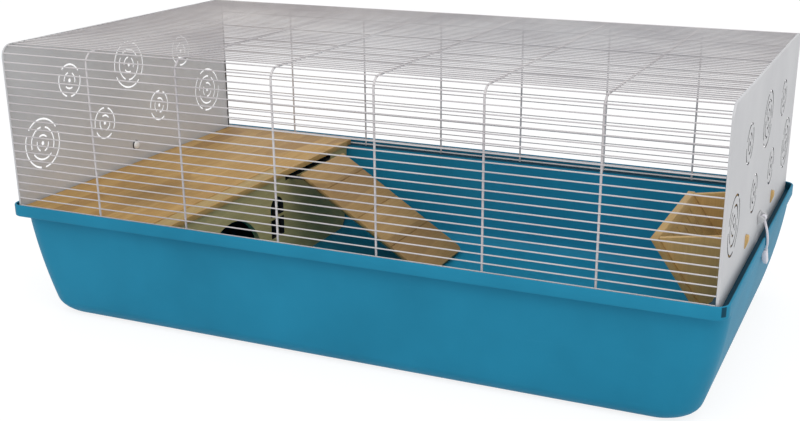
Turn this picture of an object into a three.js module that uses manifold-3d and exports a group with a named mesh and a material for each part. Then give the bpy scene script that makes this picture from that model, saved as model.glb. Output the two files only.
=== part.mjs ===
// Indoor pet cage: moulded tray, lift-off wire top with sheet-metal ends held by two clips,
// wooden shelf with a partition and a ramp under it, and a wooden hay rack on one end.
// Millimetres, +X along the length, -Y the front, +Z up, origin under the middle of the tray.
import * as THREE from 'three';
import { mergeVertices } from 'three/addons/utils/BufferGeometryUtils.js';
import Module from 'manifold-3d';

const wasm = await Module();
wasm.setup();

// Clearances
const seatGap = 0.3; // between pieces that touch
const slideGap = 0.6; // round a piece that slides or lifts through another
const swingGap = 2; // beside a piece that swings in a slot
const past = 1; // how far a cutter reaches past what it cuts

// Wire top
const wireTopLength = 1000; // over both end panels
const wireTopDepth = 556; // over front and back wires
const wireTopHeight = 241; // from the tray's ledge to the roof wires
const wireDiameter = 1.5;
const ribDiameter = 3.4;
const weldDepth = 0.5; // how far a wire sinks into a rib
const frontWireCount = 19;
const firstWireHeight = 10.5; // lowest wire above the ledge
const lastWireDrop = 5.5; // highest front wire below the bend
const roofWireCount = 45;
const bayCount = 7;
const bendRadius = 18;
const bendWireCount = 2;
const bendSteps = 4;

// End panels
const panelThickness = 1.2;
const flangeWidth = 3;
const panelCornerSteps = 5;

// Tray
const ledgeHeight = 160;
const rimRise = 12; // rim top above the ledge
const rimEndReach = 12.5; // rim outside the wire top
const rimSideReach = 6.5;
const rimCornerRadius = 17.5;
const rimWall = 3;
const ledgeThickness = 5;
const trayWall = 4;
const trayFloor = 4;
const floorRise = 10; // hollow under the floor
const footWidth = 14; // flat ring that the tray stands on
const trayCornerRadius = 38;
const trayBottomRadius = 20;
const endInset = 1.3; // body inside the rim at the ends
const sideInset = 13; // body inside the rim at front and back
const endLean = 0.105; // how far the ends draw in per mm of height
const endBow = 0.0008; // and per mm of height squared
const sideLean = 0.05;
const sideBow = 0.00025;
const endLedgeWidth = 23.5; // inside the rim wall
const sideLedgeWidth = 14.5;
const ledgeChamfer = 26; // height of the sloped underside of the end ledge
const cornerSteps = 6;
const filletSteps = 4;
const wallSteps = 3;

// Clips
const clipWidth = 16;
const clipThickness = 3;
const clipPivotRise = 36; // above the ledge
const clipPivotOut = 6.2; // outside the panel
const clipPinRadius = 1.8;
const clipEyeWall = 1.8;
const clipBoreGap = 0.4;
const clipShoulderOut = 11; // the arm's curve
const clipShoulderRise = 26;
const clipBulgeOut = 17;
const clipBulgeRise = 6;
const clipToeOut = 13.2;
const clipArmSteps = 7;
const clipFootTop = 8.5; // below the ledge
const clipFootHeight = 17;
const clipFootWidth = 5;
const clipNotchInner = 9; // notch floor outside the panel
const clipNotchMargin = 6.5; // notch below the clip's foot
const bracketPlate = 1.5;
const bracketEar = 3;
const bracketHeight = 14;
const studRadius = 3;
const knobRadius = 6.5;
const knobThickness = 4;
const roundSteps = 16;

// Shelf
const boardThickness = 9;
const shelfLength = 251;
const shelfSideGap = 1.2; // to the ribs
const inlayWidth = 26;
const inlayDepth = 3;
const inlaySink = 1;
const inlayMargin = 3;
const inlayPegGap = 10.7; // from the inlay's end to the first peg's centre
const pegRadius = 5;
const pegLength = 6;
const pegSpacing = 116;

// Partition board under the shelf
const partitionInset = 4; // behind the shelf's edge
const partitionSideGap = 3; // to the tray wall at the top
const partitionFootGap = 8.2; // to the tray wall above the bottom corners
const partitionToe = 22; // radius of the bottom corners
const doorRadius = 85;
const doorMargin = 27.3; // from the front bottom corner
const doorSpring = 42; // where the arch starts
const windowWidth = 40;
const windowSill = 66;
const windowRise = 66;
const windowMargin = 28; // behind the door
const glazingBar = 5;
const arcSteps = 14;

// Ramp
const rampWidth = 147;
const rampMargin = 65.5; // in front of the partition's back edge
const rampStandoff = 26; // top end in front of the shelf
const rampTopDrop = 7.3; // below the shelf's top
const rampAngle = THREE.MathUtils.degToRad(32.8);
const rampCornerRadius = 12;
const rampGrooveCount = 3;
const rampFirstGroove = 41.6;
const rampGroovePitch = 71.4;
const rampGrooveWidth = 2;
const rampGrooveDepth = 1.6;
const notchDepth = 9;
const notchMargin = 4; // beside the ramp
const hookWidth = 12;
const hookThickness = 2.5;
const hookSpacing = 116;
const hookTipGap = 5.5; // behind the partition
const hookTipLength = 8.5;
const hookLeg = 26;

// Hay rack
const rackBoard = 8;
const rackWidth = 236;
const rackSideSpacing = 216;
const rackReach = 107.2; // from the end panel to the sloped board's top edge
const rackTopRise = 27; // above the ledge
const rackDrop = 125; // height of the sloped board
const rackFootGap = 3.9; // from the sloped board's foot to the ledge's edge
const rackSideRise = 17; // side boards' rise towards the panel
const rackTabHeight = 17;
const rackTabReach = 4;
const rackTabBevel = 1.5;
const rackSlotCount = 5;
const rackSlotPitch = 28.3;
const rackSlotWidth = 3;
const rackSlotStart = 11;
const rackSlotLength = 36;
const rackLedgeGap = 3; // above the tray's ledge
const rackEdgeGap = 4.5; // from the side boards to the ledge's edge
const rackSideLift = 8; // side boards end above the sloped board's foot

// Panel openwork: broken rings about a dot
const rosetteCount = 7;
const rosetteRings = 2; // every third rosette has one more
const rosettePitch = 72;
const rosetteBase = 88; // above the ledge
const rosetteStagger = 80;
const ringPitch = 12;
const ringWidth = 2.4;
const ringArcs = 3;
const ringBridge = 8; // metal left between two arcs
const ringSteps = 4;
const dotRadius = 3.2;
const dotSteps = 6;

// Derived places
const panelOuter = wireTopLength / 2;
const panelInner = panelOuter - panelThickness;
const wireOuter = wireTopDepth / 2;
const roofTop = ledgeHeight + wireTopHeight;
const wireLine = wireDiameter / 2;
const ribLine = wireDiameter + ribDiameter / 2 - weldDepth;
const frontWirePitch = (wireTopHeight - bendRadius - firstWireHeight - lastWireDrop) / (frontWireCount - 1);
const wireEnd = panelOuter - flangeWidth - seatGap;
const rimHalfLength = panelOuter + rimEndReach;
const rimHalfDepth = wireOuter + rimSideReach;
const rimTop = ledgeHeight + rimRise;
const ledgeEnd = rimHalfLength - rimWall - endLedgeWidth;
const ledgeSide = rimHalfDepth - rimWall - sideLedgeWidth;
const floorTop = floorRise + trayFloor;
const shelfLeft = -(panelInner - seatGap - knobThickness - slideGap);
const shelfBottom = ledgeHeight + seatGap;
const shelfTop = shelfBottom + boardThickness;
const shelfHalfDepth = wireOuter - ribLine - ribDiameter / 2 - shelfSideGap;
const partitionHalf = ledgeSide - partitionSideGap;
const rampCentre = partitionHalf - rampMargin - rampWidth / 2;

// Directions of the local axes of a flat shape
const faceX = new THREE.Matrix4().makeBasis(
  new THREE.Vector3(0, 1, 0), new THREE.Vector3(0, 0, 1), new THREE.Vector3(1, 0, 0));
const faceY = new THREE.Matrix4().makeBasis(
  new THREE.Vector3(1, 0, 0), new THREE.Vector3(0, 0, 1), new THREE.Vector3(0, -1, 0));
const faceZ = new THREE.Matrix4();

const cage = new THREE.Group();

const trayBlue = new THREE.MeshStandardMaterial({ color: 0x2e81a3, roughness: 0.42, metalness: 0 });
const wireWhite = new THREE.MeshStandardMaterial({ color: 0xd9d6d4, roughness: 0.35, metalness: 0.1 });
const panelGrey = new THREE.MeshStandardMaterial({ color: 0xc4c4c4, roughness: 0.45, metalness: 0.1 });
const clipWhite = new THREE.MeshStandardMaterial({ color: 0xe4e2e6, roughness: 0.4, metalness: 0 });
const shelfWood = new THREE.MeshStandardMaterial({ color: 0xb08c5f, roughness: 0.65, metalness: 0 });
const inlayWood = new THREE.MeshStandardMaterial({ color: 0x8c7a4c, roughness: 0.65, metalness: 0 });
const rackWood = new THREE.MeshStandardMaterial({ color: 0x9a7d4c, roughness: 0.65, metalness: 0 });
const hookSteel = new THREE.MeshStandardMaterial({ color: 0x1b1b1c, roughness: 0.5, metalness: 0.6 });

function toSolid(geometry) {
  const bare = geometry.index ? geometry.toNonIndexed() : geometry.clone();
  bare.deleteAttribute('normal');
  bare.deleteAttribute('uv');
  const merged = mergeVertices(bare, 1e-4);
  return new wasm.Manifold(new wasm.Mesh({
    numProp: 3,
    vertProperties: new Float32Array(merged.attributes.position.array),
    triVerts: new Uint32Array(merged.index.array),
  }));
}

function toGeometry(solid) {
  const mesh = solid.getMesh();
  const geometry = new THREE.BufferGeometry();
  geometry.setAttribute('position', new THREE.BufferAttribute(new Float32Array(mesh.vertProperties), 3));
  geometry.setIndex(new THREE.BufferAttribute(new Uint32Array(mesh.triVerts), 1));
  geometry.computeVertexNormals();
  return geometry;
}

function join(solids) {
  return solids.reduce((sum, solid) => sum.add(solid));
}

function cut(solid, cutters) {
  return cutters.reduce((rest, cutter) => rest.subtract(cutter), solid);
}

function place(name, solid, material) {
  const mesh = new THREE.Mesh(toGeometry(solid), material);
  mesh.name = name;
  cage.add(mesh);
  return mesh;
}

// A flat outline made thick, from `from` to `to` along the facing axis
function slab(points, facing, from, to) {
  const shape = new THREE.Shape(points.map(([u, v]) => new THREE.Vector2(u, v)));
  const geometry = new THREE.ExtrudeGeometry(shape, { depth: to - from, bevelEnabled: false });
  const start = facing === faceY ? -to : from;
  geometry.translate(0, 0, start);
  geometry.applyMatrix4(facing);
  return toSolid(geometry);
}

// A flat outline in (down the slope, across) made thick along the slope's normal
function sloped(points, topX, topZ, angle, from, to) {
  const shape = new THREE.Shape(points.map(([u, v]) => new THREE.Vector2(u, v)));
  const geometry = new THREE.ExtrudeGeometry(shape, { depth: to - from, bevelEnabled: false });
  geometry.translate(0, 0, from);
  const turn = new THREE.Matrix4().makeBasis(
    new THREE.Vector3(Math.cos(angle), 0, -Math.sin(angle)),
    new THREE.Vector3(0, 1, 0),
    new THREE.Vector3(Math.sin(angle), 0, Math.cos(angle)));
  geometry.applyMatrix4(turn);
  geometry.translate(topX, 0, topZ);
  return toSolid(geometry);
}

function block(x0, x1, y0, y1, z0, z1) {
  const geometry = new THREE.BoxGeometry(x1 - x0, y1 - y0, z1 - z0);
  geometry.translate((x0 + x1) / 2, (y0 + y1) / 2, (z0 + z1) / 2);
  return toSolid(geometry);
}

function ring(centreU, centreV, radius, steps, turn = 0) {
  const points = [];
  for (let i = 0; i < steps; i += 1) {
    const angle = turn + (i / steps) * Math.PI * 2;
    points.push([centreU + radius * Math.cos(angle), centreV + radius * Math.sin(angle)]);
  }
  return points;
}

function arc(centreU, centreV, radius, fromAngle, toAngle, steps) {
  const points = [];
  for (let i = 0; i <= steps; i += 1) {
    const angle = fromAngle + ((toAngle - fromAngle) * i) / steps;
    points.push([centreU + radius * Math.cos(angle), centreV + radius * Math.sin(angle)]);
  }
  return points;
}

function roundedRect(halfLength, halfDepth, radius, steps) {
  const u = halfLength - radius;
  const v = halfDepth - radius;
  const quarter = Math.PI / 2;
  return [
    ...arc(u, v, radius, 0, quarter, steps),
    ...arc(-u, v, radius, quarter, 2 * quarter, steps),
    ...arc(-u, -v, radius, 2 * quarter, 3 * quarter, steps),
    ...arc(u, -v, radius, 3 * quarter, 4 * quarter, steps),
  ];
}

// A strip of even thickness along a line of points
function ribbon(line, thickness) {
  const points = line.map(([u, v]) => new THREE.Vector2(u, v));
  const left = [];
  const right = [];
  points.forEach((point, i) => {
    const before = points[Math.max(i - 1, 0)];
    const after = points[Math.min(i + 1, points.length - 1)];
    const inward = point.clone().sub(before).normalize();
    const outward = after.clone().sub(point).normalize();
    const along = inward.clone().add(outward).normalize();
    const side = new THREE.Vector2(-along.y, along.x);
    const edge = i === 0 ? outward : inward;
    const normal = new THREE.Vector2(-edge.y, edge.x);
    const reach = thickness / 2 / side.dot(normal);
    left.push([point.x + side.x * reach, point.y + side.y * reach]);
    right.push([point.x - side.x * reach, point.y - side.y * reach]);
  });
  return [...left, ...right.reverse()];
}

// ---------- Tray ----------

function trayHalfLength(height) {
  const drop = ledgeHeight - height;
  return rimHalfLength - endInset - endLean * drop - endBow * drop * drop;
}

function trayHalfDepth(height) {
  const drop = ledgeHeight - height;
  return rimHalfDepth - sideInset - sideLean * drop - sideBow * drop * drop;
}

function filletInset(height, radius) {
  const left = Math.max(radius - height, 0);
  return radius - Math.sqrt(radius * radius - left * left);
}

// A tub whose rings follow the given half sizes from the floor up
function tub(heights, halfLengthAt, halfDepthAt, cornerRadius) {
  const last = heights.length - 1;
  const baseLength = halfLengthAt(heights[last]);
  const baseDepth = halfDepthAt(heights[last]);
  const outline = roundedRect(baseLength, baseDepth, cornerRadius, cornerSteps);
  const shape = new THREE.Shape(outline.map(([u, v]) => new THREE.Vector2(u, v)));
  const geometry = new THREE.ExtrudeGeometry(shape, { depth: last, steps: last, bevelEnabled: false });
  const position = geometry.attributes.position;
  for (let i = 0; i < position.count; i += 1) {
    const height = heights[Math.round(position.getZ(i))];
    const x = position.getX(i);
    const y = position.getY(i);
    const moveX = Math.sign(x) * (halfLengthAt(height) - baseLength);
    const moveY = Math.sign(y) * (halfDepthAt(height) - baseDepth);
    position.setXYZ(i, x + moveX, y + moveY, height);
  }
  return toSolid(geometry);
}

function wallHeights(floor, radius, top) {
  const heights = [];
  for (let i = 0; i <= filletSteps; i += 1) {
    heights.push(floor + radius * (1 - Math.cos((i / filletSteps) * (Math.PI / 2))));
  }
  for (let i = 1; i <= wallSteps; i += 1) {
    heights.push(floor + radius + ((top - floor - radius) * i) / wallSteps);
  }
  return heights;
}

const trayBody = tub(
  wallHeights(0, trayBottomRadius, ledgeHeight - ledgeThickness / 2),
  (height) => trayHalfLength(height) - filletInset(height, trayBottomRadius),
  (height) => trayHalfDepth(height) - filletInset(height, trayBottomRadius),
  trayCornerRadius);
const rim = slab(
  roundedRect(rimHalfLength, rimHalfDepth, rimCornerRadius, cornerSteps),
  faceZ, ledgeHeight - ledgeThickness, rimTop);
const channel = slab(
  roundedRect(rimHalfLength - rimWall, rimHalfDepth - rimWall, rimCornerRadius - rimWall, cornerSteps),
  faceZ, ledgeHeight, rimTop + past);

const innerRadius = trayBottomRadius - trayWall;
const chamferBottom = ledgeHeight - ledgeThickness - ledgeChamfer;
const innerHeights = [
  ...wallHeights(floorTop, innerRadius, chamferBottom),
  ledgeHeight - ledgeThickness,
  ledgeHeight + past,
];
function cavityHalf(height, wallLine, ledgeLine) {
  if (height > chamferBottom + seatGap) {
    return ledgeLine;
  }
  return wallLine(height) - trayWall - filletInset(height - floorTop, innerRadius);
}
const trayCavity = tub(
  innerHeights,
  (height) => cavityHalf(height, trayHalfLength, ledgeEnd),
  (height) => cavityHalf(height, trayHalfDepth, ledgeSide),
  trayCornerRadius - trayWall);

const notchHalf = clipWidth / 2 + swingGap;
const notchFloor = panelOuter + clipNotchInner;
const notchBottom = ledgeHeight - clipFootTop - clipFootHeight - clipNotchMargin;
const clipNotches = [1, -1].map((side) => block(
  side > 0 ? notchFloor : -rimHalfLength - past,
  side > 0 ? rimHalfLength + past : -notchFloor,
  -notchHalf, notchHalf, notchBottom, rimTop + past));

const tray = cut(join([trayBody, rim]), [channel, trayCavity, ...clipNotches]);

// The tray's shell in simple parts: flat floor, four walls and four corners
const floorHalfLength = trayHalfLength(0) - trayBottomRadius - footWidth;
const floorHalfDepth = trayHalfDepth(0) - trayBottomRadius - footWidth;
const wallEndX = floorHalfLength - trayCornerRadius;
const wallEndY = floorHalfDepth - trayCornerRadius;
const rimBottom = ledgeHeight - ledgeThickness;
const farX = rimHalfLength + past;
const farY = rimHalfDepth + past;
const floorCutter = slab(
  roundedRect(floorHalfLength + seatGap, floorHalfDepth + seatGap, trayCornerRadius + seatGap, cornerSteps),
  faceZ, -past, floorTop + past);
const trayShell = tray.subtract(floorCutter);

function trayPart(name, x0, x1, y0, y1) {
  place(name, trayShell.intersect(block(x0, x1, y0, y1, -past, rimBottom - seatGap)), trayBlue);
}

place('tray_floor', slab(
  roundedRect(floorHalfLength, floorHalfDepth, trayCornerRadius, cornerSteps),
  faceZ, floorRise, floorTop), trayBlue);
trayPart('tray_front_wall', -wallEndX, wallEndX, -farY, 0);
trayPart('tray_back_wall', -wallEndX, wallEndX, 0, farY);
trayPart('tray_left_wall', -farX, 0, -wallEndY, wallEndY);
trayPart('tray_right_wall', 0, farX, -wallEndY, wallEndY);
trayPart('tray_front_left_corner', -farX, -wallEndX - seatGap, -farY, -wallEndY - seatGap);
trayPart('tray_front_right_corner', wallEndX + seatGap, farX, -farY, -wallEndY - seatGap);
trayPart('tray_back_left_corner', -farX, -wallEndX - seatGap, wallEndY + seatGap, farY);
trayPart('tray_back_right_corner', wallEndX + seatGap, farX, wallEndY + seatGap, farY);

// Its rim in simple parts: the flat ledge and the upright wall round it, straight and at the corners
const ledgeTurnX = ledgeEnd - trayCornerRadius + trayWall;
const ledgeTurnY = ledgeSide - trayCornerRadius + trayWall;
const rimTurnX = rimHalfLength - rimCornerRadius;
const rimTurnY = rimHalfDepth - rimCornerRadius;

function ledgePart(name, [x0, x1], [y0, y1]) {
  place(name, trayShell.intersect(block(x0, x1, y0, y1, rimBottom, ledgeHeight)), trayBlue);
}

function rimPart(name, [x0, x1], [y0, y1]) {
  const upright = block(x0, x1, y0, y1, ledgeHeight + seatGap, rimTop + past);
  place(name, trayShell.intersect(upright), trayBlue);
}

function span(sign, near, far) {
  return sign > 0 ? [near, far] : [-far, -near];
}

const traySides = [['front', -1], ['back', 1]];
const trayEnds = [['left', -1], ['right', 1]];
for (const [side, sideSign] of traySides) {
  ledgePart(`tray_${side}_ledge`, [-ledgeTurnX, ledgeTurnX], span(sideSign, 0, farY));
  rimPart(`tray_${side}_rim`, [-rimTurnX, rimTurnX], span(sideSign, 0, farY));
}
for (const [end, endSign] of trayEnds) {
  ledgePart(`tray_${end}_ledge`, span(endSign, 0, farX), [-ledgeTurnY, ledgeTurnY]);
  for (const [side, sideSign] of traySides) {
    rimPart(`tray_${end}_rim_${side}`, span(endSign, 0, farX), span(sideSign, 0, rimTurnY));
    ledgePart(`tray_${side}_${end}_ledge_corner`,
      span(endSign, ledgeTurnX + seatGap, farX), span(sideSign, ledgeTurnY + seatGap, farY));
    rimPart(`tray_${side}_${end}_rim_corner`,
      span(endSign, rimTurnX + seatGap, farX), span(sideSign, rimTurnY + seatGap, farY));
  }
}

// ---------- Wire top: grilles ----------

function diamond(centreU, centreV, diameter, turn = 0) {
  return ring(centreU, centreV, diameter / 2, 4, turn);
}

const ribPlaces = [];
for (let i = 1; i < bayCount; i += 1) {
  ribPlaces.push(-panelOuter + (i * wireTopLength) / bayCount);
}
const bendBottom = roofTop - bendRadius;
const bendFront = -wireOuter + bendRadius;
const seam = seatGap / 2;

function longWire(y, z, diameter, turn = 0) {
  return slab(diamond(y, z, diameter, turn), faceX, -wireEnd, wireEnd);
}

// side is -1 for the front and 1 for the back
function sideGrille(side) {
  const pieces = [];
  const wireY = side * (wireOuter - wireLine);
  const ribY = side * (wireOuter - ribLine);
  const rodY = side * (wireOuter - ribDiameter / 2);
  const rodHeight = ledgeHeight + seatGap + ribDiameter / 2;
  pieces.push(longWire(rodY, rodHeight, ribDiameter));
  for (const x of ribPlaces) {
    pieces.push(slab(diamond(x, ribY, ribDiameter), faceZ, rodHeight, bendBottom - seam));
  }
  for (let i = 0; i < frontWireCount; i += 1) {
    pieces.push(longWire(wireY, ledgeHeight + firstWireHeight + i * frontWirePitch, wireDiameter));
  }
  return join(pieces);
}

function roofGrille() {
  const pieces = [];
  const half = wireOuter - bendRadius - seam;
  for (const x of ribPlaces) {
    pieces.push(slab(diamond(x, roofTop - ribLine, ribDiameter), faceY, -half, half));
  }
  const pitch = (2 * (wireOuter - bendRadius)) / roofWireCount;
  for (let i = 0; i < roofWireCount; i += 1) {
    const y = (i - (roofWireCount - 1) / 2) * pitch;
    pieces.push(longWire(y, roofTop - wireLine, wireDiameter));
  }
  return join(pieces);
}

class BendCurve extends THREE.Curve {
  constructor(x, centreY, centreZ, radius, side) {
    super();
    this.x = x;
    this.centreY = centreY;
    this.centreZ = centreZ;
    this.radius = radius;
    this.side = side;
  }

  getPoint(t, target = new THREE.Vector3()) {
    const trim = seam / this.radius;
    const angle = trim + t * (Math.PI / 2 - 2 * trim);
    const y = this.centreY + this.side * this.radius * Math.cos(angle);
    return target.set(this.x, y, this.centreZ + this.radius * Math.sin(angle));
  }
}

function cornerGrille(side) {
  const centreY = -side * bendFront;
  const pieces = ribPlaces.map((x) => {
    const path = new BendCurve(x, centreY, bendBottom, bendRadius - ribLine, side);
    const shape = new THREE.Shape(diamond(0, 0, ribDiameter).map(([u, v]) => new THREE.Vector2(u, v)));
    const options = { steps: bendSteps, bevelEnabled: false, extrudePath: path };
    return toSolid(new THREE.ExtrudeGeometry(shape, options));
  });
  for (let i = 0; i < bendWireCount; i += 1) {
    const angle = ((i + 0.5) / bendWireCount) * (Math.PI / 2);
    const radius = bendRadius - wireLine;
    const y = centreY + side * radius * Math.cos(angle);
    const z = bendBottom + radius * Math.sin(angle);
    pieces.push(longWire(y, z, wireDiameter, side * angle));
  }
  return join(pieces);
}

place('front_grille', sideGrille(-1), wireWhite);
place('back_grille', sideGrille(1), wireWhite);
place('roof_grille', roofGrille(), wireWhite);
place('front_corner_grille', cornerGrille(-1), wireWhite);
place('back_corner_grille', cornerGrille(1), wireWhite);

// ---------- End panels ----------

const clipPivotHeight = ledgeHeight + clipPivotRise;
const rackTop = ledgeHeight + rackTopRise;
const rackSideTop = rackTop + rackSideRise;
const rackTabBottom = rackSideTop - rackTabHeight;

function panelOutline(inset, bottom) {
  const half = wireOuter - inset;
  const radius = bendRadius - inset;
  const corner = wireOuter - bendRadius;
  return [
    [-half, bottom],
    [half, bottom],
    ...arc(corner, bendBottom, radius, 0, Math.PI / 2, panelCornerSteps),
    ...arc(-corner, bendBottom, radius, Math.PI / 2, Math.PI, panelCornerSteps),
  ];
}

// A ring of slots with bridges between them
function brokenRing(centreY, centreZ, radius, turn) {
  const slots = [];
  const bridgeTurn = ringBridge / radius;
  const half = ringWidth / 2;
  for (let i = 0; i < ringArcs; i += 1) {
    const from = turn + (i / ringArcs) * 2 * Math.PI + bridgeTurn / 2;
    const to = from + (2 * Math.PI) / ringArcs - bridgeTurn;
    slots.push([
      ...arc(centreY, centreZ, radius + half, from, to, ringSteps),
      ...arc(centreY, centreZ, radius - half, to, from, ringSteps),
    ]);
  }
  return slots;
}

function openwork() {
  const holes = [];
  for (let i = 0; i < rosetteCount; i += 1) {
    const y = (i - (rosetteCount - 1) / 2) * rosettePitch;
    const z = ledgeHeight + rosetteBase + (i % 2) * rosetteStagger;
    const rings = rosetteRings + (i % 3 === 0 ? 1 : 0);
    for (let k = 1; k <= rings; k += 1) {
      holes.push(...brokenRing(y, z, k * ringPitch, i + k));
    }
    holes.push(ring(y, z, dotRadius, dotSteps));
  }
  return holes;
}

function endPanel(side) {
  const bottom = ledgeHeight + seatGap;
  const tabSlots = side < 0 ? [] : [-1, 1].map((end) => {
    const y = (end * rackSideSpacing) / 2;
    const half = rackBoard / 2 + slideGap;
    return [
      [y - half, rackTabBottom - slideGap],
      [y + half, rackTabBottom - slideGap],
      [y + half, rackSideTop + slideGap],
      [y - half, rackSideTop + slideGap],
    ];
  });
  const studHole = ring(0, clipPivotHeight, studRadius + seatGap, roundSteps);
  const holes = [...openwork(), studHole, ...tabSlots].map(
    (outline) => slab(outline, faceX, panelInner - past, panelOuter + past));
  const hull = slab(panelOutline(0, bottom), faceX, panelOuter - flangeWidth, panelOuter);
  const core = slab(
    panelOutline(panelThickness, bottom - past), faceX, panelOuter - flangeWidth - past, panelInner);
  const solid = cut(hull, [core, ...holes]);
  return side > 0 ? solid : solid.rotate([0, 0, 180]);
}

place('right_end_panel', endPanel(1), panelGrey);
place('left_end_panel', endPanel(-1), panelGrey);

// ---------- Clips ----------

function clipArm() {
  const curve = new THREE.CubicBezierCurve(
    new THREE.Vector2(panelOuter + clipPivotOut, clipPivotHeight),
    new THREE.Vector2(panelOuter + clipShoulderOut, ledgeHeight + clipShoulderRise),
    new THREE.Vector2(panelOuter + clipBulgeOut, ledgeHeight + clipBulgeRise),
    new THREE.Vector2(panelOuter + clipToeOut, ledgeHeight - clipFootTop - past));
  return ribbon(curve.getPoints(clipArmSteps).map((point) => [point.x, point.y]), clipThickness);
}

function clipFoot() {
  const inner = notchFloor + seatGap;
  const outer = rimHalfLength + clipThickness;
  const top = ledgeHeight - clipFootTop;
  const bottom = top - clipFootHeight;
  const flare = clipThickness / 2;
  return [
    [inner, top],
    [outer - flare / 2, top],
    [outer + flare, bottom],
    [outer + flare - clipFootWidth, bottom + flare],
    [inner, bottom + clipFootHeight / 2],
  ];
}

function clip(side) {
  const boreRadius = clipPinRadius + clipBoreGap;
  const pivot = panelOuter + clipPivotOut;
  const eye = ring(pivot, clipPivotHeight, boreRadius + clipEyeWall, roundSteps);
  const half = clipWidth / 2;
  const body = join([clipArm(), clipFoot(), eye].map((points) => slab(points, faceY, -half, half)));
  const boreOutline = ring(pivot, clipPivotHeight, boreRadius, roundSteps);
  const bore = slab(boreOutline, faceY, -half - past, half + past);
  const solid = body.subtract(bore);
  return side > 0 ? solid : solid.rotate([0, 0, 180]);
}

// Riveted through the panel: a plate with two ears and the pin outside, a flat head inside
function bracket(side) {
  const pivot = panelOuter + clipPivotOut;
  const plateIn = panelOuter + seatGap;
  const plateOut = plateIn + bracketPlate;
  const inside = clipWidth / 2 + swingGap / 2;
  const outside = inside + bracketEar;
  const low = clipPivotHeight - bracketHeight / 2;
  const high = clipPivotHeight + bracketHeight / 2;
  const plate = block(plateIn, plateOut, -outside, outside, low, high);
  const earRadius = clipPinRadius + bracketPlate;
  const earOutline = [
    [plateIn, low],
    ...arc(pivot, clipPivotHeight, earRadius, -Math.PI / 4, Math.PI / 4, bendSteps),
    [plateIn, high],
  ];
  const ears = [slab(earOutline, faceY, inside, outside), slab(earOutline, faceY, -outside, -inside)];
  const pinOutline = ring(pivot, clipPivotHeight, clipPinRadius, roundSteps);
  const pin = slab(pinOutline, faceY, -inside - past, inside + past);
  const headFace = panelInner - seatGap;
  const studOutline = ring(0, clipPivotHeight, studRadius, roundSteps);
  const stud = slab(studOutline, faceX, headFace - past, plateIn + past);
  const headOutline = ring(0, clipPivotHeight, knobRadius, roundSteps);
  const head = slab(headOutline, faceX, headFace - knobThickness, headFace);
  const solid = join([plate, ...ears, pin, stud, head]);
  return side > 0 ? solid : solid.rotate([0, 0, 180]);
}

place('right_clip', clip(1), clipWhite);
place('left_clip', clip(-1), clipWhite);
place('right_clip_bracket', bracket(1), clipWhite);
place('left_clip_bracket', bracket(-1), clipWhite);

// ---------- Shelf, partition and ramp ----------

const shelfRight = shelfLeft + shelfLength;
const inlayRight = shelfRight - inlayMargin;
const partitionRight = shelfRight - partitionInset;
const partitionLeft = partitionRight - boardThickness;
const pegPlaces = [rampCentre - pegSpacing / 2, rampCentre + pegSpacing / 2];

function inlayOutline(gap) {
  const radius = inlayWidth / 2 - gap;
  const centre = inlayRight - inlayWidth / 2;
  const end = pegPlaces[0] - inlayPegGap - inlayWidth / 2;
  const front = -shelfHalfDepth - (gap > 0 ? 0 : past);
  return [
    [centre - radius, front],
    [centre + radius, front],
    ...arc(centre, end, radius, 0, Math.PI, arcSteps),
  ];
}

const shelfPlank = block(shelfLeft, shelfRight, -shelfHalfDepth, shelfHalfDepth, shelfBottom, shelfTop);
const inlayRecess = slab(inlayOutline(0), faceZ, shelfTop - inlayDepth, shelfTop + past);
const pegCentre = (partitionLeft + partitionRight) / 2;
const pegHoles = pegPlaces.map((y) => slab(
  ring(pegCentre, y, pegRadius + seatGap, roundSteps),
  faceZ, shelfTop - pegLength - seatGap, shelfTop + past));
place('shelf_board', cut(shelfPlank, [inlayRecess, ...pegHoles]), shelfWood);
place('shelf_inlay', slab(
  inlayOutline(seatGap), faceZ, shelfTop - inlayDepth + seatGap, shelfTop - inlaySink), inlayWood);
['shelf_peg_front', 'shelf_peg_back'].forEach((name, i) => {
  const outline = ring(pegCentre, pegPlaces[i], pegRadius, roundSteps);
  place(name, slab(outline, faceZ, shelfTop - pegLength, shelfTop), shelfWood);
});

const boardFoot = floorTop + seatGap;
const partitionTop = ledgeHeight;
const hookNotchFloor = partitionTop - notchDepth;
const notchHalfWidth = rampWidth / 2 + notchMargin;
const footHalf = trayHalfDepth(boardFoot + partitionToe) - trayWall - partitionFootGap;
const doorLeft = -footHalf + partitionToe + doorMargin;
const doorCentre = doorLeft + doorRadius;
const doorRight = doorCentre + doorRadius;
const windowHalf = windowWidth / 2;
const windowCentre = doorRight + windowMargin + windowHalf;
const quarterTurn = Math.PI / 2;
const partitionOutline = [
  ...arc(-footHalf + partitionToe, boardFoot + partitionToe, partitionToe,
    2 * quarterTurn, 3 * quarterTurn, filletSteps),
  [doorLeft, boardFoot],
  ...arc(doorCentre, doorSpring, doorRadius, Math.PI, 0, arcSteps),
  [doorRight, boardFoot],
  ...arc(footHalf - partitionToe, boardFoot + partitionToe, partitionToe,
    3 * quarterTurn, 4 * quarterTurn, filletSteps),
  [partitionHalf, partitionTop],
  [rampCentre + notchHalfWidth, partitionTop],
  [rampCentre + notchHalfWidth, hookNotchFloor],
  [rampCentre - notchHalfWidth, hookNotchFloor],
  [rampCentre - notchHalfWidth, partitionTop],
  [-partitionHalf, partitionTop],
];
const windowSpring = windowSill + windowRise - windowHalf;
const windowOutline = [
  [windowCentre - windowHalf, windowSill],
  [windowCentre + windowHalf, windowSill],
  ...arc(windowCentre, windowSpring, windowHalf, 0, Math.PI, arcSteps),
];
const windowMiddle = windowSill + windowRise / 2;
const barHalf = glazingBar / 2;
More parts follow.
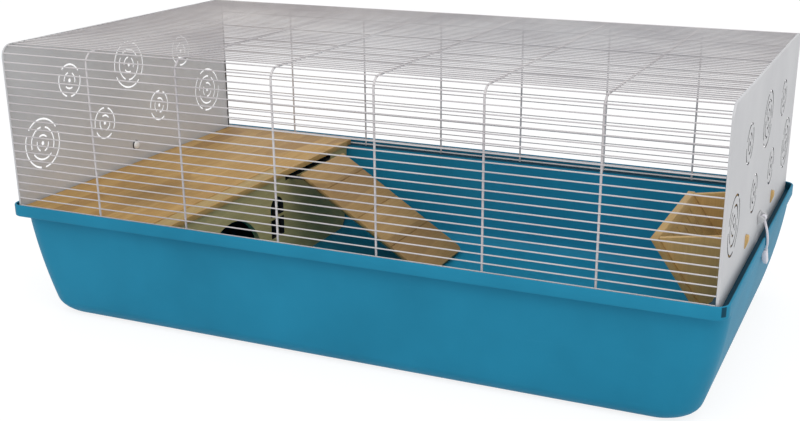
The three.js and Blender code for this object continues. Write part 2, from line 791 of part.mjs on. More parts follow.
const glazingBars = [
  block(partitionLeft - past, partitionRight + past, windowCentre - barHalf, windowCentre + barHalf,
    windowSill - past, windowSill + windowRise + past),
  block(partitionLeft - past, partitionRight + past,
    windowCentre - windowHalf - past, windowCentre + windowHalf + past,
    windowMiddle - barHalf, windowMiddle + barHalf),
];
const panes = cut(slab(windowOutline, faceX, partitionLeft - past, partitionRight + past), glazingBars);
place('partition_board', cut(
  slab(partitionOutline, faceX, partitionLeft, partitionRight), [panes]), inlayWood);

const rampTopX = shelfRight + rampStandoff;
const rampTopZ = shelfTop - rampTopDrop;
const rampLength = (rampTopZ - boardThickness * Math.cos(rampAngle) - boardFoot) / Math.sin(rampAngle);

function rampPoint(along, above) {
  return [
    rampTopX + along * Math.cos(rampAngle) + above * Math.sin(rampAngle),
    rampTopZ - along * Math.sin(rampAngle) + above * Math.cos(rampAngle),
  ];
}

function ramp() {
  const low = rampCentre - rampWidth / 2;
  const high = rampCentre + rampWidth / 2;
  const radius = rampCornerRadius;
  const outline = [
    [0, low],
    ...arc(rampLength - radius, low + radius, radius, -Math.PI / 2, 0, cornerSteps),
    ...arc(rampLength - radius, high - radius, radius, 0, Math.PI / 2, cornerSteps),
    [0, high],
  ];
  const board = sloped(outline, rampTopX, rampTopZ, rampAngle, -boardThickness, 0);
  const grooves = [];
  const half = rampGrooveWidth / 2;
  for (let i = 0; i < rampGrooveCount; i += 1) {
    const along = rampFirstGroove + i * rampGroovePitch;
    const profile = [
      rampPoint(along - half, past),
      rampPoint(along - half, 0),
      rampPoint(along, -rampGrooveDepth),
      rampPoint(along + half, 0),
      rampPoint(along + half, past),
    ];
    grooves.push(slab(profile, faceY, low - past, high + past));
  }
  return cut(board, grooves);
}

function rampHook(y) {
  const run = hookNotchFloor + seatGap + hookThickness / 2;
  const tip = partitionLeft - hookTipGap - hookThickness / 2;
  const under = -(boardThickness + seatGap + hookThickness / 2);
  const bendAlong = (rampPoint(0, under)[1] - run) / Math.sin(rampAngle);
  const line = [
    [tip, run - hookTipLength],
    [tip, run],
    rampPoint(bendAlong, under),
    rampPoint(bendAlong + hookLeg, under),
  ];
  return slab(ribbon(line, hookThickness), faceY, y - hookWidth / 2, y + hookWidth / 2);
}

place('ramp_board', ramp(), shelfWood);
place('ramp_hook_front', rampHook(rampCentre - hookSpacing / 2), hookSteel);
place('ramp_hook_back', rampHook(rampCentre + hookSpacing / 2), hookSteel);

// ---------- Hay rack ----------

const rackTopX = panelOuter - rackReach;
const rackBottom = rackTop - rackDrop;
const rackSlope = (ledgeEnd - rackFootGap - rackTopX) / rackDrop; // across per mm down
const rackAngle = Math.atan2(1, rackSlope);
const rackLevelWidth = rackBoard / Math.sin(rackAngle);

// The sloped board's face towards the end panel
function rackFaceX(height) {
  return rackTopX + (rackTop - height) * rackSlope;
}

function rackFront() {
  const outline = [
    [rackTopX - rackLevelWidth, rackTop],
    [rackFaceX(rackBottom) - rackLevelWidth, rackBottom],
    [rackFaceX(rackBottom), rackBottom],
    [rackTopX, rackTop],
  ];
  const board = slab(outline, faceY, -rackWidth / 2, rackWidth / 2);
  const slots = [];
  for (let i = 0; i < rackSlotCount; i += 1) {
    const y = (i - (rackSlotCount - 1) / 2) * rackSlotPitch;
    const half = rackSlotWidth / 2;
    const slot = [
      [rackSlotStart, y - half],
      [rackSlotStart + rackSlotLength, y - half],
      [rackSlotStart + rackSlotLength, y + half],
      [rackSlotStart, y + half],
    ];
    slots.push(sloped(slot, rackTopX, rackTop, rackAngle, -rackBoard - past, past));
  }
  return cut(board, slots);
}

function rackSide(end) {
  const gap = seatGap / Math.sin(rackAngle);
  const stepHeight = ledgeHeight + rackLedgeGap;
  const lowEdge = ledgeEnd - rackEdgeGap;
  const bottom = rackBottom + rackSideLift;
  const wall = panelInner - seatGap;
  const tip = panelOuter + rackTabReach;
  const outline = [
    [rackTopX + gap, rackTop],
    [rackFaceX(bottom) + gap, bottom],
    [lowEdge, bottom],
    [lowEdge, stepHeight],
    [wall, stepHeight],
    [wall, rackTabBottom],
    [tip - 2 * rackTabBevel, rackTabBottom],
    [tip, rackTabBottom + rackTabHeight / 2],
    [tip, rackSideTop - rackTabBevel],
    [tip - rackTabBevel, rackSideTop],
  ];
  const centre = (end * rackSideSpacing) / 2;
  return slab(outline, faceY, centre - rackBoard / 2, centre + rackBoard / 2);
}

place('rack_front', rackFront(), rackWood);
place('rack_side_front', rackSide(-1), rackWood);
place('rack_side_back', rackSide(1), rackWood);

export default cage;
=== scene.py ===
import math

import bmesh
import bpy
from mathutils import Matrix, Vector


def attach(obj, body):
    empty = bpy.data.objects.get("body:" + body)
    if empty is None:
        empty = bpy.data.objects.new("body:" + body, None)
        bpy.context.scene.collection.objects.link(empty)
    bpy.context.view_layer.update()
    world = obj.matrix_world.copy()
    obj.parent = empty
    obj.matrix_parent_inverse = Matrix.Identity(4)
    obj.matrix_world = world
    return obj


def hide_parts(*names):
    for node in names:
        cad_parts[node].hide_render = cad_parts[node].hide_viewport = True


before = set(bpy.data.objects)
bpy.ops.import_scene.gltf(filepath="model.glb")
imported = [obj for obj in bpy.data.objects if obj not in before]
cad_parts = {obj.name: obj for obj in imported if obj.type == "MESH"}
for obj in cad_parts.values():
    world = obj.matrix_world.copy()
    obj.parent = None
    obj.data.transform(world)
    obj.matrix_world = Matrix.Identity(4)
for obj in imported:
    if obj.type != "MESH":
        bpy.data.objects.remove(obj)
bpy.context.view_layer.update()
print("frame loaded")

# Camera

cameraValues = {
    "place": (0.69212, -1.542487, 0.665365),
    "turn": (70.265, 0.123, 23.669),
    "sensor": 36.0, "lens": 53.151, "shiftX": -0.02817, "shiftY": 0.06703,
}
cameraData = bpy.data.cameras.new("photoCamera")
cameraData.sensor_width = cameraValues["sensor"]
cameraData.lens = cameraValues["lens"]
cameraData.shift_x = cameraValues["shiftX"]
cameraData.shift_y = cameraValues["shiftY"]
camera = bpy.data.objects.new("photoCamera", cameraData)
camera.location = cameraValues["place"]
camera.rotation_euler = [math.radians(angle) for angle in cameraValues["turn"]]
bpy.context.scene.collection.objects.link(camera)
bpy.context.scene.camera = camera
bpy.context.scene.view_settings.view_transform = "Standard"


# Node helpers

# An sRGB colour of 0 to 255 as the linear colour that a socket takes
def colour(red, green, blue):
    parts = [value / 255 for value in (red, green, blue)]
    return tuple([v / 12.92 if v < 0.04045 else ((v + 0.055) / 1.055) ** 2.4 for v in parts] + [1.0])


def addNode(tree, kind, inputs=None, **settings):
    made = tree.nodes.new(kind)
    for key, value in settings.items():
        setattr(made, key, value)
    for key, value in (inputs or {}).items():
        if isinstance(value, bpy.types.NodeSocket):
            tree.links.new(value, made.inputs[key])
        else:
            made.inputs[key].default_value = value
    return made


def mixColour(tree, factor, first, second, blend="MIX"):
    made = addNode(tree, "ShaderNodeMix", {0: factor, 6: first, 7: second},
                   data_type="RGBA", blend_type=blend)
    return made.outputs[2]


def maths(tree, operation, *values):
    made = addNode(tree, "ShaderNodeMath", dict(enumerate(values)), operation=operation)
    return made.outputs[0]


def mapRange(tree, value, fromLow, fromHigh, toLow, toHigh):
    made = addNode(tree, "ShaderNodeMapRange",
                   {"Value": value, "From Min": fromLow, "From Max": fromHigh,
                    "To Min": toLow, "To Max": toHigh})
    return made.outputs[0]


def scaled(tree, vector, scale):
    made = addNode(tree, "ShaderNodeMapping", {"Vector": vector, "Scale": scale})
    return made.outputs[0]


def noise(tree, vector, scale, detail=2.0, roughness=0.5, distortion=0.0):
    made = addNode(tree, "ShaderNodeTexNoise",
                   {"Vector": vector, "Scale": scale, "Detail": detail,
                    "Roughness": roughness, "Distortion": distortion})
    return made.outputs[0]


def newGroup(name, inputs, outputs):
    group = bpy.data.node_groups.new(name, "ShaderNodeTree")
    for label, kind in inputs:
        group.interface.new_socket(label, in_out="INPUT", socket_type=kind)
    for label, kind in outputs:
        group.interface.new_socket(label, in_out="OUTPUT", socket_type=kind)
    return group, group.nodes.new("NodeGroupInput"), group.nodes.new("NodeGroupOutput")


def useGroup(tree, group, inputs):
    return addNode(tree, "ShaderNodeGroup", inputs, node_tree=group).outputs


def newMaterial(name):
    material = bpy.data.materials.new(name)
    material.use_nodes = True
    tree = material.node_tree
    shader = tree.nodes["Principled BSDF"]
    return material, tree, shader


def addBump(tree, shader, strength, depth, height):
    bump = addNode(tree, "ShaderNodeBump", {"Strength": strength, "Distance": depth, "Height": height})
    tree.links.new(bump.outputs[0], shader.inputs["Normal"])


marksLook = {
    "broadScale": 7.0, "fineScale": 1400.0, "rubScale": (30.0, 260.0, 190.0), "rubEdges": (0.60, 0.74),
}


# Broad tone, fine speckle and thin rubbed marks of a moulded or painted surface
def makeSurfaceGroup():
    group, source, result = newGroup(
        "surfaceMarks",
        [("Vector", "NodeSocketVector")],
        [("Broad", "NodeSocketFloat"), ("Fine", "NodeSocketFloat"), ("Rubs", "NodeSocketFloat")])
    place = source.outputs["Vector"]
    broad = noise(group, place, marksLook["broadScale"], 3.0, 0.55)
    fine = noise(group, place, marksLook["fineScale"], 2.0, 0.6)
    rubs = noise(group, scaled(group, place, marksLook["rubScale"]), 1.0, 4.0, 0.65, 0.4)
    rubMask = mapRange(group, rubs, *marksLook["rubEdges"], 0.0, 1.0)
    group.links.new(broad, result.inputs["Broad"])
    group.links.new(fine, result.inputs["Fine"])
    group.links.new(rubMask, result.inputs["Rubs"])
    return group


grainLook = {
    "bend": (6.0, 14.0, 14.0), "bendShare": 0.35, "bands": (3.5, 62.0, 62.0),
    "fibres": (22.0, 640.0, 500.0), "pores": (110.0, 2100.0, 1500.0), "poreEdges": (0.58, 0.70),
}


# Grain of a board: x along the grain, y across, z through, in metres
def makeGrainGroup():
    group, source, result = newGroup(
        "woodGrain",
        [("Vector", "NodeSocketVector")],
        [("Bands", "NodeSocketFloat"), ("Fibres", "NodeSocketFloat"), ("Pores", "NodeSocketFloat")])
    place = source.outputs["Vector"]
    bend = noise(group, scaled(group, place, grainLook["bend"]), 1.0, 2.0, 0.5)
    bands = noise(group, scaled(group, place, grainLook["bands"]), 1.0, 3.0, 0.55, 1.2)
    bend = maths(group, "MULTIPLY", maths(group, "SUBTRACT", bend, 0.5), grainLook["bendShare"])
    warped = maths(group, "ADD", bands, bend)
    fibres = noise(group, scaled(group, place, grainLook["fibres"]), 1.0, 4.0, 0.6)
    pores = noise(group, scaled(group, place, grainLook["pores"]), 1.0, 1.0, 0.5)
    poreMask = mapRange(group, pores, *grainLook["poreEdges"], 0.0, 1.0)
    group.links.new(warped, result.inputs["Bands"])
    group.links.new(fibres, result.inputs["Fibres"])
    group.links.new(poreMask, result.inputs["Pores"])
    return group


surfaceMarks = makeSurfaceGroup()
woodGrain = makeGrainGroup()


# Materials

plasticLook = {
    "main": colour(36, 139, 173), "deep": colour(31, 128, 160), "rub": colour(52, 148, 180), "rubShare": 0.12,
    "rough": (0.46, 0.58), "rubGloss": 0.05, "specular": 0.12, "bump": 0.12, "bumpDepth": 0.0004,
    # groove: the dark colour of the painted shade in the channel behind the rim wall
    "groove": colour(15, 66, 86), "grooveHalf": (0.5098, 0.2818), "grooveHeight": (0.1588, 0.1716),
    "grooveBlend": 0.0006,
}


# Painted shade in the channel behind the rim wall, where the light hardly reaches: 1 inside it, 0 elsewhere
def channelShadeMask(tree, place):
    axes = addNode(tree, "ShaderNodeSeparateXYZ", {0: place})
    halfX, halfY = plasticLook["grooveHalf"]
    low, high = plasticLook["grooveHeight"]
    blend = plasticLook["grooveBlend"]
    insideX = mapRange(tree, maths(tree, "ABSOLUTE", axes.outputs[0]), halfX, halfX - blend, 0.0, 1.0)
    insideY = mapRange(tree, maths(tree, "ABSOLUTE", axes.outputs[1]), halfY, halfY - blend, 0.0, 1.0)
    above = mapRange(tree, axes.outputs[2], low, low + blend, 0.0, 1.0)
    below = mapRange(tree, axes.outputs[2], high, high - blend, 0.0, 1.0)
    return maths(tree, "MULTIPLY", maths(tree, "MULTIPLY", insideX, insideY),
                 maths(tree, "MULTIPLY", above, below))


def makeTrayPlastic():
    material, tree, shader = newMaterial("trayPlastic")
    place = addNode(tree, "ShaderNodeTexCoord").outputs["Object"]
    marks = useGroup(tree, surfaceMarks, {"Vector": place})
    broad = mapRange(tree, marks["Broad"], 0.3, 0.7, 0.0, 1.0)
    base = mixColour(tree, broad, plasticLook["main"], plasticLook["deep"])
    rubShare = maths(tree, "MULTIPLY", marks["Rubs"], plasticLook["rubShare"])
    base = mixColour(tree, rubShare, base, plasticLook["rub"])
    # The channel behind the rim wall takes the dark painted shade colour
    tree.links.new(mixColour(tree, channelShadeMask(tree, place), base, plasticLook["groove"]),
                   shader.inputs["Base Color"])
    rough = mapRange(tree, marks["Fine"], 0.3, 0.7, *plasticLook["rough"])
    rubGloss = maths(tree, "MULTIPLY", marks["Rubs"], plasticLook["rubGloss"])
    tree.links.new(maths(tree, "SUBTRACT", rough, rubGloss), shader.inputs["Roughness"])
    addBump(tree, shader, plasticLook["bump"], plasticLook["bumpDepth"], marks["Fine"])
    shader.inputs["Specular IOR Level"].default_value = plasticLook["specular"]
    return material


paintLook = {
    "wire": (colour(214, 210, 209), colour(188, 183, 184)),
    "sheet": (colour(207, 207, 207), colour(197, 197, 198)),
    "clip": (colour(232, 230, 234), colour(222, 219, 226)),
    "knob": (colour(250, 250, 250), colour(244, 244, 245)),
    "shadow": (colour(34, 34, 36), colour(22, 22, 24)),
    "steel": (colour(30, 30, 32), colour(22, 22, 24)),
    "speckEdges": (0.62, 0.72), "speckShare": 0.35, "bumpDepth": 0.0003,
}


# A painted or moulded skin: `rough` is the range of its roughness
def makePaint(name, tone, rough, bump):
    light, deep = paintLook[tone]
    material, tree, shader = newMaterial(name)
    place = addNode(tree, "ShaderNodeTexCoord").outputs["Object"]
    marks = useGroup(tree, surfaceMarks, {"Vector": place})
    broad = mapRange(tree, marks["Broad"], 0.32, 0.68, 0.0, 1.0)
    speck = mapRange(tree, marks["Fine"], *paintLook["speckEdges"], 0.0, paintLook["speckShare"])
    base = mixColour(tree, broad, light, deep)
    tree.links.new(mixColour(tree, speck, base, deep), shader.inputs["Base Color"])
    tree.links.new(mapRange(tree, marks["Fine"], 0.3, 0.7, *rough), shader.inputs["Roughness"])
    addBump(tree, shader, bump, paintLook["bumpDepth"], marks["Fine"])
    return material


woodLook = {
    "shelf": (colour(211, 172, 109), colour(191, 151, 88), colour(151, 113, 63)),
    "ramp": (colour(187, 152, 99), colour(171, 136, 84), colour(132, 101, 60)),
    "partition": (colour(204, 185, 128), colour(190, 171, 115), colour(156, 139, 90)),
    "inlay": (colour(196, 168, 112), colour(182, 154, 98), colour(146, 122, 74)),
    "rack": (colour(226, 190, 130), colour(208, 171, 108), colour(166, 133, 80)),
    "stripRatio": 0.22, "stripSoftness": 0.22, "stripJumble": 0.55, "midShare": 0.75, "darkShare": 0.6,
    "fibreShare": 0.32, "poreShare": 0.22, "rough": (0.5, 0.66), "specular": 0.3,
    "bump": 0.22, "bumpDepth": 0.0004, "poreDepth": 0.6,
}


# Boards: `strip` is the width of the veneer strips in metres, 0 for a plain board
def makeWood(name, tones, strip=0.0, darkening=None):
    light, mid, dark = woodLook[tones]
    material, tree, shader = newMaterial(name)
    place = addNode(tree, "ShaderNodeAttribute", attribute_name="grain").outputs["Vector"]
    grain = useGroup(tree, woodGrain, {"Vector": place})
    bands = mapRange(tree, grain["Bands"], 0.32, 0.68, 0.0, 1.0)
    base = mixColour(tree, bands, light, mid)
    if strip:
        cells = addNode(tree, "ShaderNodeTexVoronoi",
                        {"Vector": scaled(tree, place, (woodLook["stripRatio"] / strip, 1 / strip, 0.0)),
                         "Scale": 1.0, "Smoothness": woodLook["stripSoftness"],
                         "Randomness": woodLook["stripJumble"]},
                        voronoi_dimensions="2D", feature="SMOOTH_F1")
        tone = addNode(tree, "ShaderNodeSeparateColor", {0: cells.outputs["Color"]})
        midShare = mapRange(tree, tone.outputs[0], 0.25, 0.85, 0.0, woodLook["midShare"])
        base = mixColour(tree, midShare, base, mid)
        darkShare = mapRange(tree, tone.outputs[1], 0.55, 0.95, 0.0, woodLook["darkShare"])
        base = mixColour(tree, darkShare, base, dark)
    fibre = mapRange(tree, grain["Fibres"], 0.35, 0.75, 0.0, woodLook["fibreShare"])
    base = mixColour(tree, fibre, base, dark)
    base = mixColour(tree, maths(tree, "MULTIPLY", grain["Pores"], woodLook["poreShare"]), base, dark)
    if darkening:
        base = darkening(tree, base)
    tree.links.new(base, shader.inputs["Base Color"])
    tree.links.new(mapRange(tree, grain["Fibres"], 0.3, 0.7, *woodLook["rough"]), shader.inputs["Roughness"])
    pits = maths(tree, "MULTIPLY", grain["Pores"], woodLook["poreDepth"])
    height = maths(tree, "SUBTRACT", grain["Fibres"], pits)
    addBump(tree, shader, woodLook["bump"], woodLook["bumpDepth"], height)
    shader.inputs["Specular IOR Level"].default_value = woodLook["specular"]
    return material


# A soft darker patch on the shelf, at a place in metres
shelfDarkPatch = {
    "place": (-0.36, -0.14, 0.169), "reach": (0.075, 0.10, 0.1), "tone": colour(124, 98, 60),
    "strength": 0.6, "edges": (0.2, 1.1), "wobble": 0.9, "wobbleScale": 22.0,
}


# Darkens the shelf's colour in a soft, wobbly patch about a given place
def darkenShelfPatch(tree, base):
    place = addNode(tree, "ShaderNodeTexCoord").outputs["Object"]
    spot = addNode(tree, "ShaderNodeMapping", {"Vector": place}, vector_type="TEXTURE")
    spot.inputs["Location"].default_value = shelfDarkPatch["place"]
    spot.inputs["Scale"].default_value = shelfDarkPatch["reach"]
    far = addNode(tree, "ShaderNodeVectorMath", {0: spot.outputs[0]}, operation="LENGTH")
    wobble = maths(tree, "SUBTRACT", noise(tree, place, shelfDarkPatch["wobbleScale"], 3.0), 0.5)
    wobble = maths(tree, "MULTIPLY", wobble, shelfDarkPatch["wobble"])
    reach = maths(tree, "ADD", far.outputs["Value"], wobble)
    soft = mapRange(tree, reach, *shelfDarkPatch["edges"], shelfDarkPatch["strength"], 0.0)
    return mixColour(tree, soft, base, shelfDarkPatch["tone"])


trayPlastic = makeTrayPlastic()
wirePaint = makePaint("wirePaint", "wire", rough=(0.30, 0.44), bump=0.10)
panelPaint = makePaint("panelPaint", "sheet", rough=(0.42, 0.58), bump=0.16)
bracketPaint = makePaint("bracketPaint", "sheet", rough=(0.42, 0.58), bump=0.16)
clipPlastic = makePaint("clipPlastic", "clip", rough=(0.30, 0.42), bump=0.08)
# Near-black painted shade for the flange insides, the walls of the cuts and panes, and the ring about the
# knob's foot
paintedShade = makePaint("paintedShade", "shadow", rough=(0.5, 0.65), bump=0.1)
knobPlastic = makePaint("knobPlastic", "knob", rough=(0.25, 0.35), bump=0.05)
hookSteel = makePaint("hookSteel", "steel", rough=(0.38, 0.55), bump=0.2)
shelfWood = makeWood("shelfWood", "shelf", strip=0.03, darkening=darkenShelfPatch)
rampWood = makeWood("rampWood", "ramp", strip=0.045)
oliveBoard = makeWood("oliveBoard", "partition")
inlayWood = makeWood("inlayWood", "inlay")
rackWood = makeWood("rackWood", "rack", strip=0.05)
print("materials made")


# Mesh helpers: lengths in millimetres until finishMesh

def arcPoints(centreU, centreV, radius, fromAngle, toAngle, steps):
    points = []
    for i in range(steps + 1):
        angle = math.radians(fromAngle + (toAngle - fromAngle) * i / steps)
        points.append((centreU + radius * math.cos(angle), centreV + radius * math.sin(angle)))
    return points


def roundedRect(halfU, halfV, radius, steps):
    u = halfU - radius
    v = halfV - radius
    return (arcPoints(u, v, radius, 0, 90, steps) + arcPoints(-u, v, radius, 90, 180, steps)
            + arcPoints(-u, -v, radius, 180, 270, steps) + arcPoints(u, -v, radius, 270, 360, steps))


def circle(centreU, centreV, radius, steps=24):
    return arcPoints(centreU, centreV, radius, 0, 360 - 360 / steps, steps - 1)


# Extrudes the edge of the first ring from ring to ring, and caps the ends
def loft(bm, rings):
    row = [bm.verts.new(point) for point in rings[0]]
    first = [bm.edges.new(pair) for pair in zip(row, row[1:] + row[:1])]
    edges = first
    for ring in rings[1:]:
        made = bmesh.ops.extrude_edge_only(bm, edges=edges)["geom"]
        edges = [item for item in made if isinstance(item, bmesh.types.BMEdge)]
        fresh = {item for item in made if isinstance(item, bmesh.types.BMVert)}
        row = [next(edge.other_vert(vert) for edge in vert.link_edges if edge.other_vert(vert) in fresh)
               for vert in row]
        for vert, point in zip(row, ring):
            vert.co = point
    bmesh.ops.edgeloop_fill(bm, edges=first)
    bmesh.ops.edgeloop_fill(bm, edges=edges)


# A rod along a line of points that lies in the plane across `side`
def rod(bm, path, radius, side, sides=8):
    path = [Vector(point) for point in path]
    side = Vector(side).normalized()
    rings = []
    for i, point in enumerate(path):
        along = (path[min(i + 1, len(path) - 1)] - path[max(i - 1, 0)]).normalized()
        up = along.cross(side).normalized()
        ring = []
        for k in range(sides):
            angle = 2 * math.pi * (k + 0.5) / sides
            ring.append(point + radius * (math.cos(angle) * side + math.sin(angle) * up))
        rings.append(ring)
    loft(bm, rings)


# A flat outline made thick, placed by `turn`, whose columns are the outline's axes
def prism(bm, outline, low, high, turn=None):
    turn = turn or Matrix.Identity(4)
    loft(bm, [[turn @ Vector((u, v, w)) for u, v in outline] for w in (low, high)])


def softenEdges(bm, width, angle=30.0, segments=2):
    bmesh.ops.recalc_face_normals(bm, faces=bm.faces)
    edges = [e for e in bm.edges
             if len(e.link_faces) == 2 and e.calc_face_angle(0.0) > math.radians(angle)]
    bmesh.ops.bevel(bm, geom=edges, offset=width, segments=segments, profile=0.5,
                    affect="EDGES", clamp_overlap=True, material=-1)


def finishMesh(bm, name, sharp=38.0):
    bmesh.ops.recalc_face_normals(bm, faces=bm.faces)
    for vert in bm.verts:
        vert.co *= 0.001
    mesh = bpy.data.meshes.new(name)
    bm.to_mesh(mesh)
    bm.free()
    mesh.shade_smooth()
    mesh.set_sharp_from_angle(angle=math.radians(sharp))
    return mesh


# Cuts the second shape out of the first, both still in millimetres
def carve(bm, cutter):
    pair = []
    for shape in (bm, cutter):
        bmesh.ops.recalc_face_normals(shape, faces=shape.faces)
        mesh = bpy.data.meshes.new("carveMesh")
        shape.to_mesh(mesh)
        shape.free()
        pair.append(bpy.data.objects.new("carveShape", mesh))
        bpy.context.scene.collection.objects.link(pair[-1])
    base, tool = pair
    modifier = base.modifiers.new("carve", "BOOLEAN")
    modifier.operation = "DIFFERENCE"
    modifier.solver = "EXACT"
    modifier.object = tool
    bpy.context.view_layer.update()
    result = bmesh.new()
    result.from_object(base, bpy.context.evaluated_depsgraph_get())
    for shape in pair:
        mesh = shape.data
        bpy.data.objects.remove(shape)
        bpy.data.meshes.remove(mesh)
    bmesh.ops.remove_doubles(result, verts=result.verts, dist=0.001)
    bmesh.ops.dissolve_limit(result, angle_limit=math.radians(0.5), verts=result.verts, edges=result.edges)
    return result


# Faces take the first material, or one of `others` by their material number
def addPiece(name, mesh, body, material, replaced, others=()):
    piece = bpy.data.objects.new(name, mesh)
    bpy.context.scene.collection.objects.link(piece)
    for finish in (material, *others):
        mesh.materials.append(finish)
    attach(piece, body)
    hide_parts(*replaced)


# Each point's place in the board: along the grain, across it and through the board
def addGrain(mesh, along, across, shift=(0.0, 0.0, 0.0)):
    along = Vector(along).normalized()
    across = Vector(across).normalized()
    through = along.cross(across)
    shift = Vector(shift)
    layer = mesh.attributes.new("grain", "FLOAT_VECTOR", "POINT")
    values = []
    for vert in mesh.vertices:
        place = Vector((vert.co.dot(along), vert.co.dot(across), vert.co.dot(through))) + shift
        values.extend(place)
    layer.data.foreach_set("vector", values)


# Axes for outlines that face along X, Y or Z
facingX = Matrix(((0, 0, 1, 0), (1, 0, 0, 0), (0, 1, 0, 0), (0, 0, 0, 1)))
facingY = Matrix(((1, 0, 0, 0), (0, 0, -1, 0), (0, 1, 0, 0), (0, 0, 0, 1)))
halfTurn = Matrix.Rotation(math.pi, 4, "Z")


# Tray

tray = {
    "rimLength": 512.5, "rimDepth": 284.5, "rimTop": 172.0, "rimWall": 3.0, "rimCorner": 17.5,
    "ledge": 160.0, "ledgeThickness": 5.0, "ledgeLength": 486.0, "ledgeDepth": 267.0, "slopeFoot": 129.0,
    "length": 511.2, "depth": 271.5, "endLean": 0.09, "endBow": 0.00078, "sideLean": 0.05, "sideBow": 0.00025,
    "corner": 38.0, "foot": 23.0, "wall": 4.0, "lip": 1.4, "round": 1.2, "cornerSteps": 14,
    "floor": 14.0, "recess": 10.0, "recessLength": 439.9, "recessDepth": 223.1,
    "notchHalf": 10.0, "notchFrom": 509.0, "notchBottom": 128.0,
    "bendSteps": 8, "wallSteps": 10, "collar": (0.4, 1.0), "ledgeRound": 1.0, "footRise": 4.0,
}


# Half the length and half the depth of the outside at a height
def trayHalf(height):
    drop = tray["ledge"] - height
    return (tray["length"] - tray["endLean"] * drop - tray["endBow"] * drop * drop,
            tray["depth"] - tray["sideLean"] * drop - tray["sideBow"] * drop * drop)


# A ring of the rim, `inset` from its outside
def rimRow(inset, height):
    return tray["rimLength"] - inset, tray["rimDepth"] - inset, tray["rimCorner"] - inset, height


# Rings from the hollow under the floor, up the outside, over the rim and down to the floor
def trayRows():
    lip = tray["lip"]
    foot = tray["foot"]
    corner = tray["corner"]
    under = tray["ledge"] - tray["ledgeThickness"]
    rows = [(tray["recessLength"], tray["recessDepth"], corner, tray["recess"]),
            (tray["recessLength"], tray["recessDepth"], corner, 0.0)]
    steps = tray["bendSteps"]
    for i in range(steps + 1):
        angle = math.radians(90 * i / steps)
        inset = foot * (1 - math.sin(angle))
        height = foot * (1 - math.cos(angle))
        x, y = trayHalf(height)
        rows.append((x - inset, y - inset, corner, height))
    for i in range(1, tray["wallSteps"] + 1):
        height = foot + (under - 1 - foot) * i / tray["wallSteps"]
        rows.append((*trayHalf(height), corner, height))
    x, y = trayHalf(under)
    rows.append((x + tray["collar"][0], y + tray["collar"][1], corner, under))
    quarter = [math.radians(turn) for turn in (0, 30, 60, 90)]
    for angle in reversed(quarter):
        rows.append(rimRow(lip * (1 - math.cos(angle)), under + lip * (1 - math.sin(angle))))
    for angle in quarter:
        rows.append(rimRow(lip * (1 - math.cos(angle)), tray["rimTop"] - lip * (1 - math.sin(angle))))
    wall = tray["rimWall"]
    for angle in reversed(quarter):
        rows.append(rimRow(wall - lip * (1 - math.cos(angle)), tray["rimTop"] - lip * (1 - math.sin(angle))))
    bend = tray["round"]
    for angle in quarter:
        rows.append(rimRow(wall + bend * (1 - math.cos(angle)), tray["ledge"] + bend * (1 - math.sin(angle))))
    innerCorner = corner - tray["wall"]
    edge = tray["ledgeRound"]
    for angle in reversed(quarter):
        offset = edge * (1 - math.cos(angle))
        rows.append((tray["ledgeLength"] + offset, tray["ledgeDepth"] + offset, innerCorner,
                     tray["ledge"] - edge + edge * math.sin(angle)))
    rows.append((tray["ledgeLength"], tray["ledgeDepth"], innerCorner, under + 0.2))
    innerFoot = foot - tray["wall"]
    lowest = tray["floor"] + innerFoot + tray["footRise"]
    for i in range(steps + 1):
        height = tray["slopeFoot"] + (lowest - tray["slopeFoot"]) * i / steps
        x, y = trayHalf(height)
        rows.append((x - tray["wall"], y - tray["wall"], innerCorner, height))
    for i in range(steps + 1):
        angle = math.radians(90 * (steps - i) / steps)
        height = tray["floor"] + innerFoot * (1 - math.cos(angle))
        inset = innerFoot * (1 - math.sin(angle))
        x, y = trayHalf(height)
        rows.append((x - tray["wall"] - inset, y - tray["wall"] - inset, innerCorner, height))
    return rows


def buildTray():
    bm = bmesh.new()
    loft(bm, [[(u, v, height) for u, v in roundedRect(halfX, halfY, radius, tray["cornerSteps"])]
              for halfX, halfY, radius, height in trayRows()])
    cutter = bmesh.new()
    top = tray["rimTop"] + 5
    outside = tray["rimLength"] + 5
    notch = [(-tray["notchHalf"], tray["notchBottom"]), (tray["notchHalf"], tray["notchBottom"]),
             (tray["notchHalf"], top), (-tray["notchHalf"], top)]
    prism(cutter, notch, tray["notchFrom"], outside, facingX)
    prism(cutter, notch, -outside, -tray["notchFrom"], facingX)
    return finishMesh(carve(bm, cutter), "trayMoulding", 28.0)


trayNodes = [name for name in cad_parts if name.startswith("tray_")]
addPiece("trayMoulding", buildTray(), "tray", trayPlastic, trayNodes)
print("tray made")


# Wire top

wires = {
    "wire": 0.88, "rib": 1.5, "end": 496.6, "front": 277.25, "roof": 400.25, "rodLow": 162.0, "rodDepth": 276.3,
    "first": 170.5, "pitch": 11.5, "frontCount": 19, "roofCount": 45, "roofSpan": 520.0,
    "bendCentre": (260.0, 383.0), "bendRadius": 17.25, "bendWires": (22.5, 67.5),
    "bays": 7, "length": 1000.0, "ribRadius": 15.3, "ribFoot": 160.4,
}
ribPlaces = [wires["length"] * (i / wires["bays"] - 0.5) for i in range(1, wires["bays"])]


def buildWires():
    bm = bmesh.new()
    end = wires["end"]

    def long(y, z, radius, sides=8):
        rod(bm, [(-end, y, z), (end, y, z)], radius, (0, 1, 0), sides)

    for side in (-1, 1):
        for i in range(wires["frontCount"]):
            long(side * wires["front"], wires["first"] + i * wires["pitch"], wires["wire"])
        long(side * wires["rodDepth"], wires["rodLow"], wires["rib"], 10)
        for turn in wires["bendWires"]:
            y = wires["bendCentre"][0] + wires["bendRadius"] * math.cos(math.radians(turn))
            z = wires["bendCentre"][1] + wires["bendRadius"] * math.sin(math.radians(turn))
            long(side * y, z, wires["wire"])
    for i in range(wires["roofCount"]):
        y = (i - (wires["roofCount"] - 1) / 2) * wires["roofSpan"] / wires["roofCount"]
        long(y, wires["roof"], wires["wire"])
    return finishMesh(bm, "topWires")


